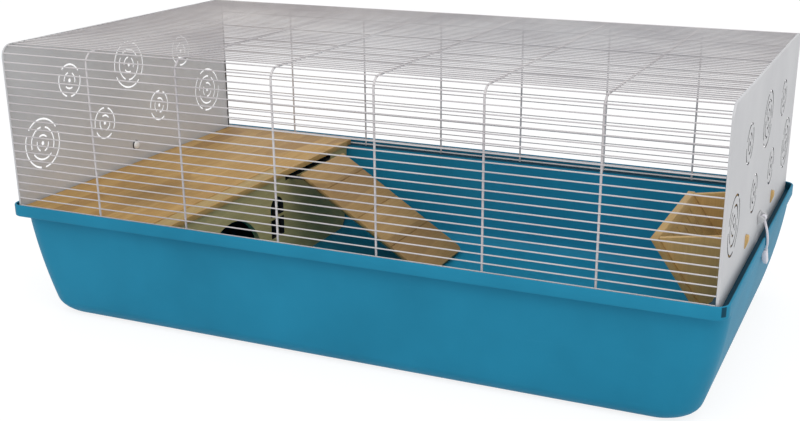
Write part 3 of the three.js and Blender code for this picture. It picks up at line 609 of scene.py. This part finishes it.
def buildRibs():
    bm = bmesh.new()
    centreY, centreZ = wires["bendCentre"]
    radius = wires["ribRadius"]
    for x in ribPlaces:
        path = [(x, -centreY - radius, wires["ribFoot"])]
        path += [(x, y, z) for y, z in arcPoints(-centreY, centreZ, radius, 180, 90, 8)]
        path += [(x, y, z) for y, z in arcPoints(centreY, centreZ, radius, 90, 0, 8)]
        path.append((x, centreY + radius, wires["ribFoot"]))
        rod(bm, path, wires["rib"], (1, 0, 0), 12)
    return finishMesh(bm, "topRibs")


addPiece("topWires", buildWires(), "wire_top", wirePaint,
         ["front_grille", "back_grille", "roof_grille"])
addPiece("topRibs", buildRibs(), "wire_top", wirePaint,
         ["front_corner_grille", "back_corner_grille"])
print("wires made")


# End panels

panel = {
    "outer": 500.0, "thickness": 1.2, "flange": 3.0, "half": 277.9, "top": 400.9, "corner": 17.9,
    "bottom": 160.4, "insets": ((0.0, 1.0), (0.3, 0.3), (1.0, 0.0)), "edgeReach": 0.3,
    "rings": 7, "dot": 3.2,
    "ringWidth": 2.8, "ringPitch": 12.0, "bridge": 8.0, "pitch": 72.0, "low": 248.0, "high": 328.0,
    "studHeight": 196.0, "studHole": 3.3,
    "tabSlots": (-108.0, 108.0), "tabHalf": 4.6, "tabLow": 186.4, "tabHigh": 204.6,
}


def panelOutline(inset, bottom):
    edge = panel["half"] - inset
    radius = panel["corner"] - inset
    u = panel["half"] - panel["corner"]
    v = panel["top"] - panel["corner"]
    return ([(-edge, bottom), (edge, bottom)] + arcPoints(u, v, radius, 0, 90, 8)
            + arcPoints(-u, v, radius, 90, 180, 8))


# Broken rings about dots, in two staggered rows
def ringSlots():
    slots = []
    for i in range(panel["rings"]):
        y = (i - (panel["rings"] - 1) / 2) * panel["pitch"]
        z = panel["high"] if i % 2 else panel["low"]
        for k in range(1, 4 if i % 3 == 0 else 3):
            radius = k * panel["ringPitch"]
            gap = math.degrees(panel["bridge"] / radius)
            for part in range(3):
                start = math.degrees(i + k) + part * 120 + gap / 2
                stop = start + 120 - gap
                steps = 5 + 2 * k
                slots.append(arcPoints(y, z, radius + panel["ringWidth"] / 2, start, stop, steps)
                             + arcPoints(y, z, radius - panel["ringWidth"] / 2, stop, start, steps))
        slots.append(circle(y, z, panel["dot"]))
    return slots


# 1, the painted shade, for the flange's inside and, on the right panel, for the walls of the cuts
def edgeNumber(face, side):
    centre = face.calc_center_median()
    edge = panel["thickness"] + panel["edgeReach"]
    if abs(face.normal.x) > 0.5:
        return 0
    if abs(centre.y) > panel["half"] - edge or centre.z > panel["top"] - edge:
        return int(centre.y * face.normal.y < -1 or face.normal.z < -0.5)
    inBend = (centre.z > panel["top"] - panel["corner"]
              and abs(centre.y) > panel["half"] - panel["corner"])
    if inBend:
        return int(face.normal.z <= 0)
    return int(side > 0 and centre.z > panel["bottom"] + 1)


def buildPanel(side):
    bm = bmesh.new()
    outer = panel["outer"]
    inner = outer - panel["thickness"]
    deep = outer - panel["flange"]
    outlines = [(panelOutline(inset, panel["bottom"]), outer - depth) for depth, inset in panel["insets"]]
    outlines.append((panelOutline(0.0, panel["bottom"]), deep))
    loft(bm, [[facingX @ Vector((u, v, x)) for u, v in points] for points, x in reversed(outlines)])
    core = bmesh.new()
    prism(core, panelOutline(panel["thickness"], panel["bottom"] - 3.0), deep - 2.0, inner, facingX)
    bm = carve(bm, core)
    holes = bmesh.new()
    slots = ringSlots() + [circle(0, panel["studHeight"], panel["studHole"])]
    if side > 0:
        reach = panel["tabHalf"]
        for y in panel["tabSlots"]:
            slots.append([(y - reach, panel["tabLow"]), (y + reach, panel["tabLow"]),
                          (y + reach, panel["tabHigh"]), (y - reach, panel["tabHigh"])])
    for points in slots:
        prism(holes, points, inner - 2.0, outer + 2.0, facingX)
    bm = carve(bm, holes)
    for face in bm.faces:
        face.material_index = edgeNumber(face, side)
    if side < 0:
        bmesh.ops.transform(bm, matrix=halfTurn, verts=bm.verts)
    return finishMesh(bm, "endPanel", 30.0)


for name, side in (("right", 1), ("left", -1)):
    addPiece(f"{name}EndPanel", buildPanel(side), "wire_top", panelPaint,
             [f"{name}_end_panel"], [paintedShade])
print("end panels made")


# Clips

clipValues = {
    "pivot": (506.2, 196.0), "arm": ((506.2, 196.0), (511.0, 186.0), (517.0, 166.0), (513.2, 150.5)),
    "thickness": 2.4, "half": 7.95, "armHalf": 2.6, "eye": 4.0, "bore": 2.2,
    "foot": ((509.3, 151.5), (514.75, 151.5), (517.0, 134.5), (512.0, 136.0), (509.3, 143.0)),
    "gap": 0.1, "chamfer": 0.4, "eyeHalf": 3.8, "edge": 0.5,
}


# The outline of a strip of even thickness along a line of points
def ribbon(points, thickness):
    points = [Vector(point) for point in points]
    left = []
    right = []
    for i, point in enumerate(points):
        along = (points[min(i + 1, len(points) - 1)] - points[max(i - 1, 0)]).normalized()
        side = Vector((-along.y, along.x)) * thickness / 2
        left.append(tuple(point + side))
        right.append(tuple(point - side))
    return left + right[::-1]


def bezier(points, steps):
    a, b, c, d = [Vector(point) for point in points]
    line = []
    for i in range(steps + 1):
        t = i / steps
        line.append((1 - t) ** 3 * a + 3 * (1 - t) ** 2 * t * b + 3 * (1 - t) * t * t * c + t ** 3 * d)
    return line


def buildClip(side):
    reach = clipValues["half"]
    pivotX, pivotZ = clipValues["pivot"]
    line = bezier(clipValues["arm"], 16)[2:]
    bm = bmesh.new()
    prism(bm, ribbon(line, clipValues["thickness"]), -clipValues["armHalf"], clipValues["armHalf"], facingY)
    prism(bm, clipValues["foot"], -reach, reach, facingY)
    softenEdges(bm, clipValues["edge"])
    reach = clipValues["eyeHalf"]
    gap = clipValues["gap"]
    bore = clipValues["bore"]
    eye = clipValues["eye"]
    chamfer = clipValues["chamfer"]
    profile = ((bore, gap - reach), (eye - chamfer, gap - reach), (eye, gap + chamfer - reach),
               (eye, reach - chamfer - gap), (eye - chamfer, reach - gap), (bore, reach - gap))
    verts = [bm.verts.new((pivotX + radius, y, pivotZ)) for radius, y in profile]
    edges = [bm.edges.new(pair) for pair in zip(verts, verts[1:] + verts[:1])]
    bmesh.ops.spin(bm, geom=verts + edges, cent=(pivotX, 0, pivotZ), axis=(0, 1, 0),
                   angle=2 * math.pi, steps=24, use_merge=True)
    if side < 0:
        bmesh.ops.transform(bm, matrix=halfTurn, verts=bm.verts)
    return finishMesh(bm, "clip")


bracket = {
    "plate": (12.0, 7.0, 1.5), "plateFrom": 500.3, "plateTo": 501.8, "ears": ((9.02, 11.98), (-11.98, -9.02)),
    "earFrom": 501.0, "earHalf": 6.0, "earRadius": 3.3, "edge": 0.3, "pin": 1.8, "pinHalf": 10.0,
    "stud": 3.0, "studFrom": 497.0, "studTo": 500.8, "shade": 8.2, "shadeFrom": 498.45, "shadeTo": 498.75,
    "knob": ((5.6, 498.4), (6.3, 497.9), (6.5, 497.2), (6.2, 496.2), (5.4, 495.3), (4.0, 494.8), (2.0, 494.55)),
}


# Plate and ears, pin and stud, then the knob inside and a ring of painted shadow about its foot
def buildBracket(side):
    pivotX, pivotZ = clipValues["pivot"]
    bm = bmesh.new()
    prism(bm, [(u, v + pivotZ) for u, v in roundedRect(*bracket["plate"], 4)],
          bracket["plateFrom"], bracket["plateTo"], facingX)
    for low, high in bracket["ears"]:
        ear = ([(bracket["earFrom"], pivotZ - bracket["earHalf"])]
               + arcPoints(pivotX, pivotZ, bracket["earRadius"], -60, 60, 8)
               + [(bracket["earFrom"], pivotZ + bracket["earHalf"])])
        prism(bm, ear, low, high, facingY)
    softenEdges(bm, bracket["edge"])
    reach = bracket["pinHalf"]
    rod(bm, [(pivotX, -reach, pivotZ), (pivotX, reach, pivotZ)], bracket["pin"], (1, 0, 0), 20)
    rod(bm, [(bracket["studFrom"], 0, pivotZ), (bracket["studTo"], 0, pivotZ)], bracket["stud"], (0, 1, 0), 20)
    shade = ((bracket["shade"], bracket["shadeFrom"]), (bracket["shade"], bracket["shadeTo"]))
    for number, rings in ((1, bracket["knob"]), (2, shade)):
        before = set(bm.faces)
        loft(bm, [[(x, u, v) for u, v in circle(0, pivotZ, radius)] for radius, x in rings])
        for face in set(bm.faces) - before:
            face.material_index = number
    if side < 0:
        bmesh.ops.transform(bm, matrix=halfTurn, verts=bm.verts)
    return finishMesh(bm, "clipBracket")


addPiece("rightClip", buildClip(1), "right_clip", clipPlastic, ["right_clip"])
addPiece("leftClip", buildClip(-1), "left_clip", clipPlastic, ["left_clip"])
for name, side in (("right", 1), ("left", -1)):
    addPiece(f"{name}ClipBracket", buildBracket(side), "wire_top", bracketPaint,
             [f"{name}_clip_bracket"], [knobPlastic, paintedShade])
print("clips made")


# Shelf, inlay and pegs

shelf = {
    "left": -493.9, "right": -242.9, "half": 272.4, "bottom": 160.3, "top": 169.3,
    "inlayLeft": -271.9, "inlayRight": -245.9, "inlayEnd": 56.3, "inlayDepth": 3.0,
    "inlayTop": 1.0, "inlayFoot": 2.7, "inlayGrain": (1.3, 0.2, 0.4),
    "pegs": (67.0, 183.0), "pegX": -251.4, "pegRadius": 5.0, "pegDepth": 6.0, "pegGrain": (2.1, 0.7),
    "gap": 0.3, "edge": 0.5, "inlayEdge": 0.35, "pegEdge": 0.3,
}


def inlayOutline(gap, front):
    radius = (shelf["inlayRight"] - shelf["inlayLeft"]) / 2
    centre = (shelf["inlayRight"] + shelf["inlayLeft"]) / 2
    return ([(centre - radius + gap, front), (centre + radius - gap, front)]
            + arcPoints(centre, shelf["inlayEnd"] - radius, radius - gap, 0, 180, 16))


def buildShelf():
    bm = bmesh.new()
    corners = [(shelf["left"], -shelf["half"]), (shelf["right"], -shelf["half"]),
               (shelf["right"], shelf["half"]), (shelf["left"], shelf["half"])]
    prism(bm, corners, shelf["bottom"], shelf["top"])
    cutter = bmesh.new()
    prism(cutter, inlayOutline(0.0, -shelf["half"] - 5.0),
          shelf["top"] - shelf["inlayDepth"], shelf["top"] + 2.0)
    for y in shelf["pegs"]:
        prism(cutter, circle(shelf["pegX"], y, shelf["pegRadius"] + shelf["gap"]),
              shelf["top"] - shelf["pegDepth"] - shelf["gap"], shelf["top"] + 2.0)
    bm = carve(bm, cutter)
    softenEdges(bm, shelf["edge"])
    mesh = finishMesh(bm, "shelfBoard")
    addGrain(mesh, (0, 1, 0), (-1, 0, 0))
    return mesh


def buildInlay():
    bm = bmesh.new()
    prism(bm, inlayOutline(shelf["gap"], -shelf["half"]),
          shelf["top"] - shelf["inlayFoot"], shelf["top"] - shelf["inlayTop"])
    softenEdges(bm, shelf["inlayEdge"])
    mesh = finishMesh(bm, "shelfInlay")
    addGrain(mesh, (0, 1, 0), (-1, 0, 0), shelf["inlayGrain"])
    return mesh


def buildPeg(y):
    bm = bmesh.new()
    prism(bm, circle(shelf["pegX"], y, shelf["pegRadius"]), shelf["top"] - shelf["pegDepth"], shelf["top"])
    softenEdges(bm, shelf["pegEdge"], 50.0)
    mesh = finishMesh(bm, "shelfPeg")
    addGrain(mesh, (0, 0, 1), (1, 0, 0), (*shelf["pegGrain"], y / 1000))
    return mesh


addPiece("shelfBoard", buildShelf(), "house", shelfWood, ["shelf_board"])
addPiece("shelfInlay", buildInlay(), "house", inlayWood, ["shelf_inlay"])
for y, name in zip(shelf["pegs"], ("Front", "Back")):
    addPiece(f"shelfPeg{name}", buildPeg(y), "house", shelfWood,
             [f"shelf_peg_{name.lower()}"])
print("shelf made")


# Partition

partition = {
    "left": -255.9, "right": -246.9, "foot": 14.3, "top": 160.0,
    "topHalf": 264.0, "footHalf": 249.3, "toe": 22.0,
    "doorCentre": -115.0, "doorRadius": 85.0, "doorSpring": 42.0,
    "windowCentre": 18.0, "windowHalf": 20.0, "sill": 66.0, "windowTop": 132.0, "bar": 5.0,
    "notch": (47.5, 202.5), "notchFloor": 151.0, "edge": 0.5, "grain": (3.2, 0.4, 0.1),
}


def windowPanes():
    centre = partition["windowCentre"]
    reach = partition["windowHalf"]
    bar = partition["bar"] / 2
    middle = (partition["sill"] + partition["windowTop"]) / 2
    spring = partition["windowTop"] - reach
    low = [(centre + bar, partition["sill"]), (centre + reach, partition["sill"]),
           (centre + reach, middle - bar), (centre + bar, middle - bar)]
    stop = math.degrees(math.acos(bar / reach))
    high = ([(centre + bar, middle + bar), (centre + reach, middle + bar)]
            + arcPoints(centre, spring, reach, 0, stop, 10))
    mirrored = [[(2 * centre - u, v) for u, v in reversed(points)] for points in (low, high)]
    return [low, high] + mirrored


# 1 for the walls of the panes and of the notch, which lie in the dark and take the painted shade
def wallNumber(face):
    centre = face.calc_center_median()
    margin = partition["edge"]
    start, stop = partition["notch"]
    inPanes = (abs(centre.y - partition["windowCentre"]) < partition["windowHalf"] + margin
               and partition["sill"] - margin < centre.z < partition["windowTop"] + margin)
    inNotch = start - margin < centre.y < stop + margin and centre.z > partition["notchFloor"] - margin
    return int(abs(face.normal.x) <= 0.5 and (inPanes or inNotch))


def buildPartition():
    foot = partition["foot"]
    side = partition["footHalf"]
    toe = partition["toe"]
    centre = partition["doorCentre"]
    radius = partition["doorRadius"]
    start, stop = partition["notch"]
    outline = (arcPoints(-side + toe, foot + toe, toe, 180, 270, 8)
               + [(centre - radius, foot)] + arcPoints(centre, partition["doorSpring"], radius, 180, 0, 32)
               + [(centre + radius, foot)] + arcPoints(side - toe, foot + toe, toe, 270, 360, 8)
               + [(partition["topHalf"], partition["top"]), (stop, partition["top"]),
                  (stop, partition["notchFloor"]), (start, partition["notchFloor"]),
                  (start, partition["top"]), (-partition["topHalf"], partition["top"])])
    bm = bmesh.new()
    prism(bm, outline, partition["left"], partition["right"], facingX)
    cutter = bmesh.new()
    for points in windowPanes():
        prism(cutter, points, partition["left"] - 3, partition["right"] + 3, facingX)
    bm = carve(bm, cutter)
    softenEdges(bm, partition["edge"], 35.0)
    for face in bm.faces:
        face.material_index = wallNumber(face)
    mesh = finishMesh(bm, "partitionBoard")
    addGrain(mesh, (0, 1, 0), (0, 0, 1), partition["grain"])
    return mesh


addPiece("partitionBoard", buildPartition(), "house", oliveBoard, ["partition_board"], [paintedShade])
print("partition made")


# Ramp and its hooks

ramp = {
    "top": (-216.9, 162.0), "angle": 32.8, "low": 51.5, "high": 198.5, "thickness": 9.0, "foot": 14.3,
    "corner": 12.0, "start": -3.5, "chamfer": 5.0, "edge": 0.35, "grain": (4.4, 0.9, 0.3),
    "grooves": (41.6, 113.0, 184.4), "grooveHalf": 1.0, "grooveDepth": 1.6,
    "hookPlaces": (67.0, 183.0), "hookHalf": 6.0, "hookThickness": 2.5, "hookGap": 0.3, "hookTip": 5.5,
    "hookDrop": 8.5, "hookRun": 26.0, "hookBend": 2.6, "hookEdge": 0.4,
}
rampTurn = math.radians(ramp["angle"])
rampAlong = Vector((math.cos(rampTurn), 0, -math.sin(rampTurn)))
rampUp = Vector((math.sin(rampTurn), 0, math.cos(rampTurn)))
rampLength = (ramp["top"][1] - ramp["thickness"] * math.cos(rampTurn) - ramp["foot"]) / math.sin(rampTurn)
rampMatrix = Matrix.Translation((ramp["top"][0], 0, ramp["top"][1])) @ Matrix(
    ((rampAlong.x, 0, rampUp.x, 0), (0, 1, 0, 0), (rampAlong.z, 0, rampUp.z, 0), (0, 0, 0, 1)))


def rampPoint(along, above):
    point = rampMatrix @ Vector((along, 0, above))
    return point.x, point.z


def rampOutline(inset):
    low = ramp["low"] + inset
    high = ramp["high"] - inset
    radius = ramp["corner"] - inset
    end = rampLength
    return ([(ramp["start"], low)] + arcPoints(end - radius, low + radius, radius, -90, 0, 8)
            + arcPoints(end - radius, high - radius, radius, 0, 90, 8) + [(ramp["start"], high)])


def buildRamp():
    bm = bmesh.new()
    rings = []
    chamfer = ramp["chamfer"]
    thickness = ramp["thickness"]
    for inset, height in ((chamfer, -thickness), (0.0, chamfer - thickness), (0.0, 0.0)):
        rings.append([rampMatrix @ Vector((u, v, height)) for u, v in rampOutline(inset)])
    loft(bm, rings)
    cutter = bmesh.new()
    reach = ramp["grooveHalf"]
    for along in ramp["grooves"]:
        profile = [rampPoint(along - reach, 1.0), rampPoint(along - reach, 0),
                   rampPoint(along, -ramp["grooveDepth"]), rampPoint(along + reach, 0),
                   rampPoint(along + reach, 1.0)]
        prism(cutter, profile, -ramp["high"] - 3, -ramp["low"] + 3, facingY)
    bm = carve(bm, cutter)
    softenEdges(bm, ramp["edge"], 35.0)
    mesh = finishMesh(bm, "rampBoard")
    addGrain(mesh, (0, 1, 0), rampAlong, ramp["grain"])
    return mesh


# Rounds the inner points of a line
def roundedLine(points, radius, steps=5):
    points = [Vector(point) for point in points]
    line = [points[0]]
    for before, point, after in zip(points, points[1:], points[2:]):
        first = (before - point).normalized()
        last = (after - point).normalized()
        reach = min(radius, (before - point).length * 0.45, (after - point).length * 0.45)
        start = point + first * reach
        stop = point + last * reach
        for i in range(steps + 1):
            t = i / steps
            line.append((1 - t) ** 2 * start + 2 * (1 - t) * t * point + t * t * stop)
    line.append(points[-1])
    return line


def buildHook(y):
    thickness = ramp["hookThickness"]
    under = -(ramp["thickness"] + ramp["hookGap"] + thickness / 2)
    run = partition["notchFloor"] + ramp["hookGap"] + thickness / 2
    tip = partition["left"] - ramp["hookTip"] - thickness / 2
    bend = (rampPoint(0, under)[1] - run) / math.sin(rampTurn)
    line = roundedLine([(tip, run - ramp["hookDrop"]), (tip, run), rampPoint(bend, under),
                        rampPoint(bend + ramp["hookRun"], under)], ramp["hookBend"])
    bm = bmesh.new()
    prism(bm, ribbon(line, thickness), -y - ramp["hookHalf"], -y + ramp["hookHalf"], facingY)
    softenEdges(bm, ramp["hookEdge"], 50.0)
    return finishMesh(bm, "rampHook")


addPiece("rampBoard", buildRamp(), "ramp", rampWood, ["ramp_board"])
for y, name in zip(ramp["hookPlaces"], ("Front", "Back")):
    addPiece(f"rampHook{name}", buildHook(y), "ramp", hookSteel,
             [f"ramp_hook_{name.lower()}"])
print("ramp made")


# Hay rack

rack = {
    "topX": 392.8, "top": 187.0, "bottom": 62.0, "footX": 482.1, "board": 8.0, "half": 118.0,
    "slots": 5, "slotPitch": 28.3, "slotHalf": 1.5, "slotStart": 11.0, "slotLength": 36.0,
    "sides": (-108.0, 108.0), "edge": 0.4, "frontGrain": (5.1, 0.3, 0.8), "sideGrain": (6.7, 0.1),
    "side": ((393.2, 187.0), (476.8, 70.0), (481.5, 70.0), (481.5, 163.0), (498.5, 163.0), (498.5, 187.0),
             (501.0, 187.0), (504.0, 195.5), (504.0, 202.5), (502.5, 204.0)),
}
rackSlope = (rack["footX"] - rack["topX"]) / (rack["top"] - rack["bottom"])
rackTurn = math.atan2(1, rackSlope)
rackAlong = Vector((math.cos(rackTurn), 0, -math.sin(rackTurn)))
rackUp = Vector((math.sin(rackTurn), 0, math.cos(rackTurn)))
rackMatrix = Matrix.Translation((rack["topX"], 0, rack["top"])) @ Matrix(
    ((rackAlong.x, 0, rackUp.x, 0), (0, 1, 0, 0), (rackAlong.z, 0, rackUp.z, 0), (0, 0, 0, 1)))


def buildRackFront():
    level = rack["board"] / math.sin(rackTurn)
    outline = [(rack["topX"] - level, rack["top"]), (rack["footX"] - level, rack["bottom"]),
               (rack["footX"], rack["bottom"]), (rack["topX"], rack["top"])]
    bm = bmesh.new()
    prism(bm, outline, -rack["half"], rack["half"], facingY)
    cutter = bmesh.new()
    for i in range(rack["slots"]):
        y = (i - (rack["slots"] - 1) / 2) * rack["slotPitch"]
        start = rack["slotStart"]
        radius = rack["slotHalf"]
        stop = start + rack["slotLength"]
        slot = (arcPoints(start + radius, y, radius, 90, 270, 6)
                + arcPoints(stop - radius, y, radius, -90, 90, 6))
        prism(cutter, slot, -rack["board"] - 2, 2, rackMatrix)
    bm = carve(bm, cutter)
    softenEdges(bm, rack["edge"], 35.0)
    mesh = finishMesh(bm, "rackFront")
    addGrain(mesh, (0, 1, 0), rackAlong, rack["frontGrain"])
    return mesh


def buildRackSide(y):
    bm = bmesh.new()
    reach = rack["board"] / 2
    prism(bm, rack["side"], -y - reach, -y + reach, facingY)
    softenEdges(bm, rack["edge"], 20.0)
    mesh = finishMesh(bm, "rackSide")
    addGrain(mesh, (0, 0, 1), (1, 0, 0), (*rack["sideGrain"], y / 1000))
    return mesh


addPiece("rackFront", buildRackFront(), "hay_rack", rackWood, ["rack_front"])
for y, name in zip(rack["sides"], ("Front", "Back")):
    addPiece(f"rackSide{name}", buildRackSide(y), "hay_rack", rackWood,
             [f"rack_side_{name.lower()}"])
print("hay rack made")


# Floor, world and lamps

stageValues = {
    "floorSize": 12.0, "floorTone": colour(236, 236, 236), "floorGlow": 0.72, "glowStrength": 1.17,
    "skyLevel": 0.72, "skyTone": colour(250, 251, 255),
    "keyPlace": (0.6, -1.6, 2.6), "keySize": 2.4, "keyPower": 30.0,
    "sidePlace": (3.0, -0.6, 1.4), "sideSize": 1.8, "sidePower": 6.5, "aim": (0.0, 0.0, 0.15),
}


def buildFloor():
    bm = bmesh.new()
    bmesh.ops.create_grid(bm, x_segments=1, y_segments=1, size=stageValues["floorSize"] / 2)
    mesh = bpy.data.meshes.new("floor")
    bm.to_mesh(mesh)
    bm.free()
    floor = bpy.data.objects.new("floor", mesh)
    bpy.context.scene.collection.objects.link(floor)
    material = bpy.data.materials.new("floorTone")
    material.use_nodes = True
    tree = material.node_tree
    tree.nodes.clear()
    rays = addNode(tree, "ShaderNodeLightPath")
    seen = maths(tree, "MAXIMUM", rays.outputs["Is Camera Ray"], rays.outputs["Is Glossy Ray"])
    plain = addNode(tree, "ShaderNodeBsdfDiffuse", {"Color": stageValues["floorTone"]})
    glow = addNode(tree, "ShaderNodeEmission", {"Color": (1, 1, 1, 1), "Strength": stageValues["glowStrength"]})
    share = maths(tree, "MULTIPLY", seen, stageValues["floorGlow"])
    mix = addNode(tree, "ShaderNodeMixShader", {0: share, 1: plain.outputs[0], 2: glow.outputs[0]})
    output = addNode(tree, "ShaderNodeOutputMaterial")
    tree.links.new(mix.outputs[0], output.inputs["Surface"])
    mesh.materials.append(material)


def buildWorld():
    world = bpy.data.worlds.new("studio")
    bpy.context.scene.world = world
    world.use_nodes = True
    tree = world.node_tree
    tree.nodes.clear()
    rays = addNode(tree, "ShaderNodeLightPath")
    seen = maths(tree, "MAXIMUM", rays.outputs["Is Camera Ray"], rays.outputs["Is Glossy Ray"])
    seen = maths(tree, "MAXIMUM", seen, rays.outputs["Is Transmission Ray"])
    sky = addNode(tree, "ShaderNodeBackground",
                  {"Color": stageValues["skyTone"], "Strength": stageValues["skyLevel"]})
    white = addNode(tree, "ShaderNodeBackground", {"Color": (1, 1, 1, 1), "Strength": 1.0})
    mix = addNode(tree, "ShaderNodeMixShader", {0: seen, 1: sky.outputs[0], 2: white.outputs[0]})
    output = addNode(tree, "ShaderNodeOutputWorld")
    tree.links.new(mix.outputs[0], output.inputs["Surface"])


def addLamp(name, place, size, power):
    data = bpy.data.lights.new(name, "AREA")
    data.shape = "SQUARE"
    data.size = size
    data.energy = power
    lamp = bpy.data.objects.new(name, data)
    lamp.location = place
    aim = Vector(stageValues["aim"]) - Vector(place)
    lamp.rotation_euler = aim.to_track_quat("-Z", "Y").to_euler()
    bpy.context.scene.collection.objects.link(lamp)


buildFloor()
buildWorld()
for lamp in ("key", "side"):
    addLamp(f"{lamp}Lamp", stageValues[f"{lamp}Place"], stageValues[f"{lamp}Size"], stageValues[f"{lamp}Power"])
print("stage made")
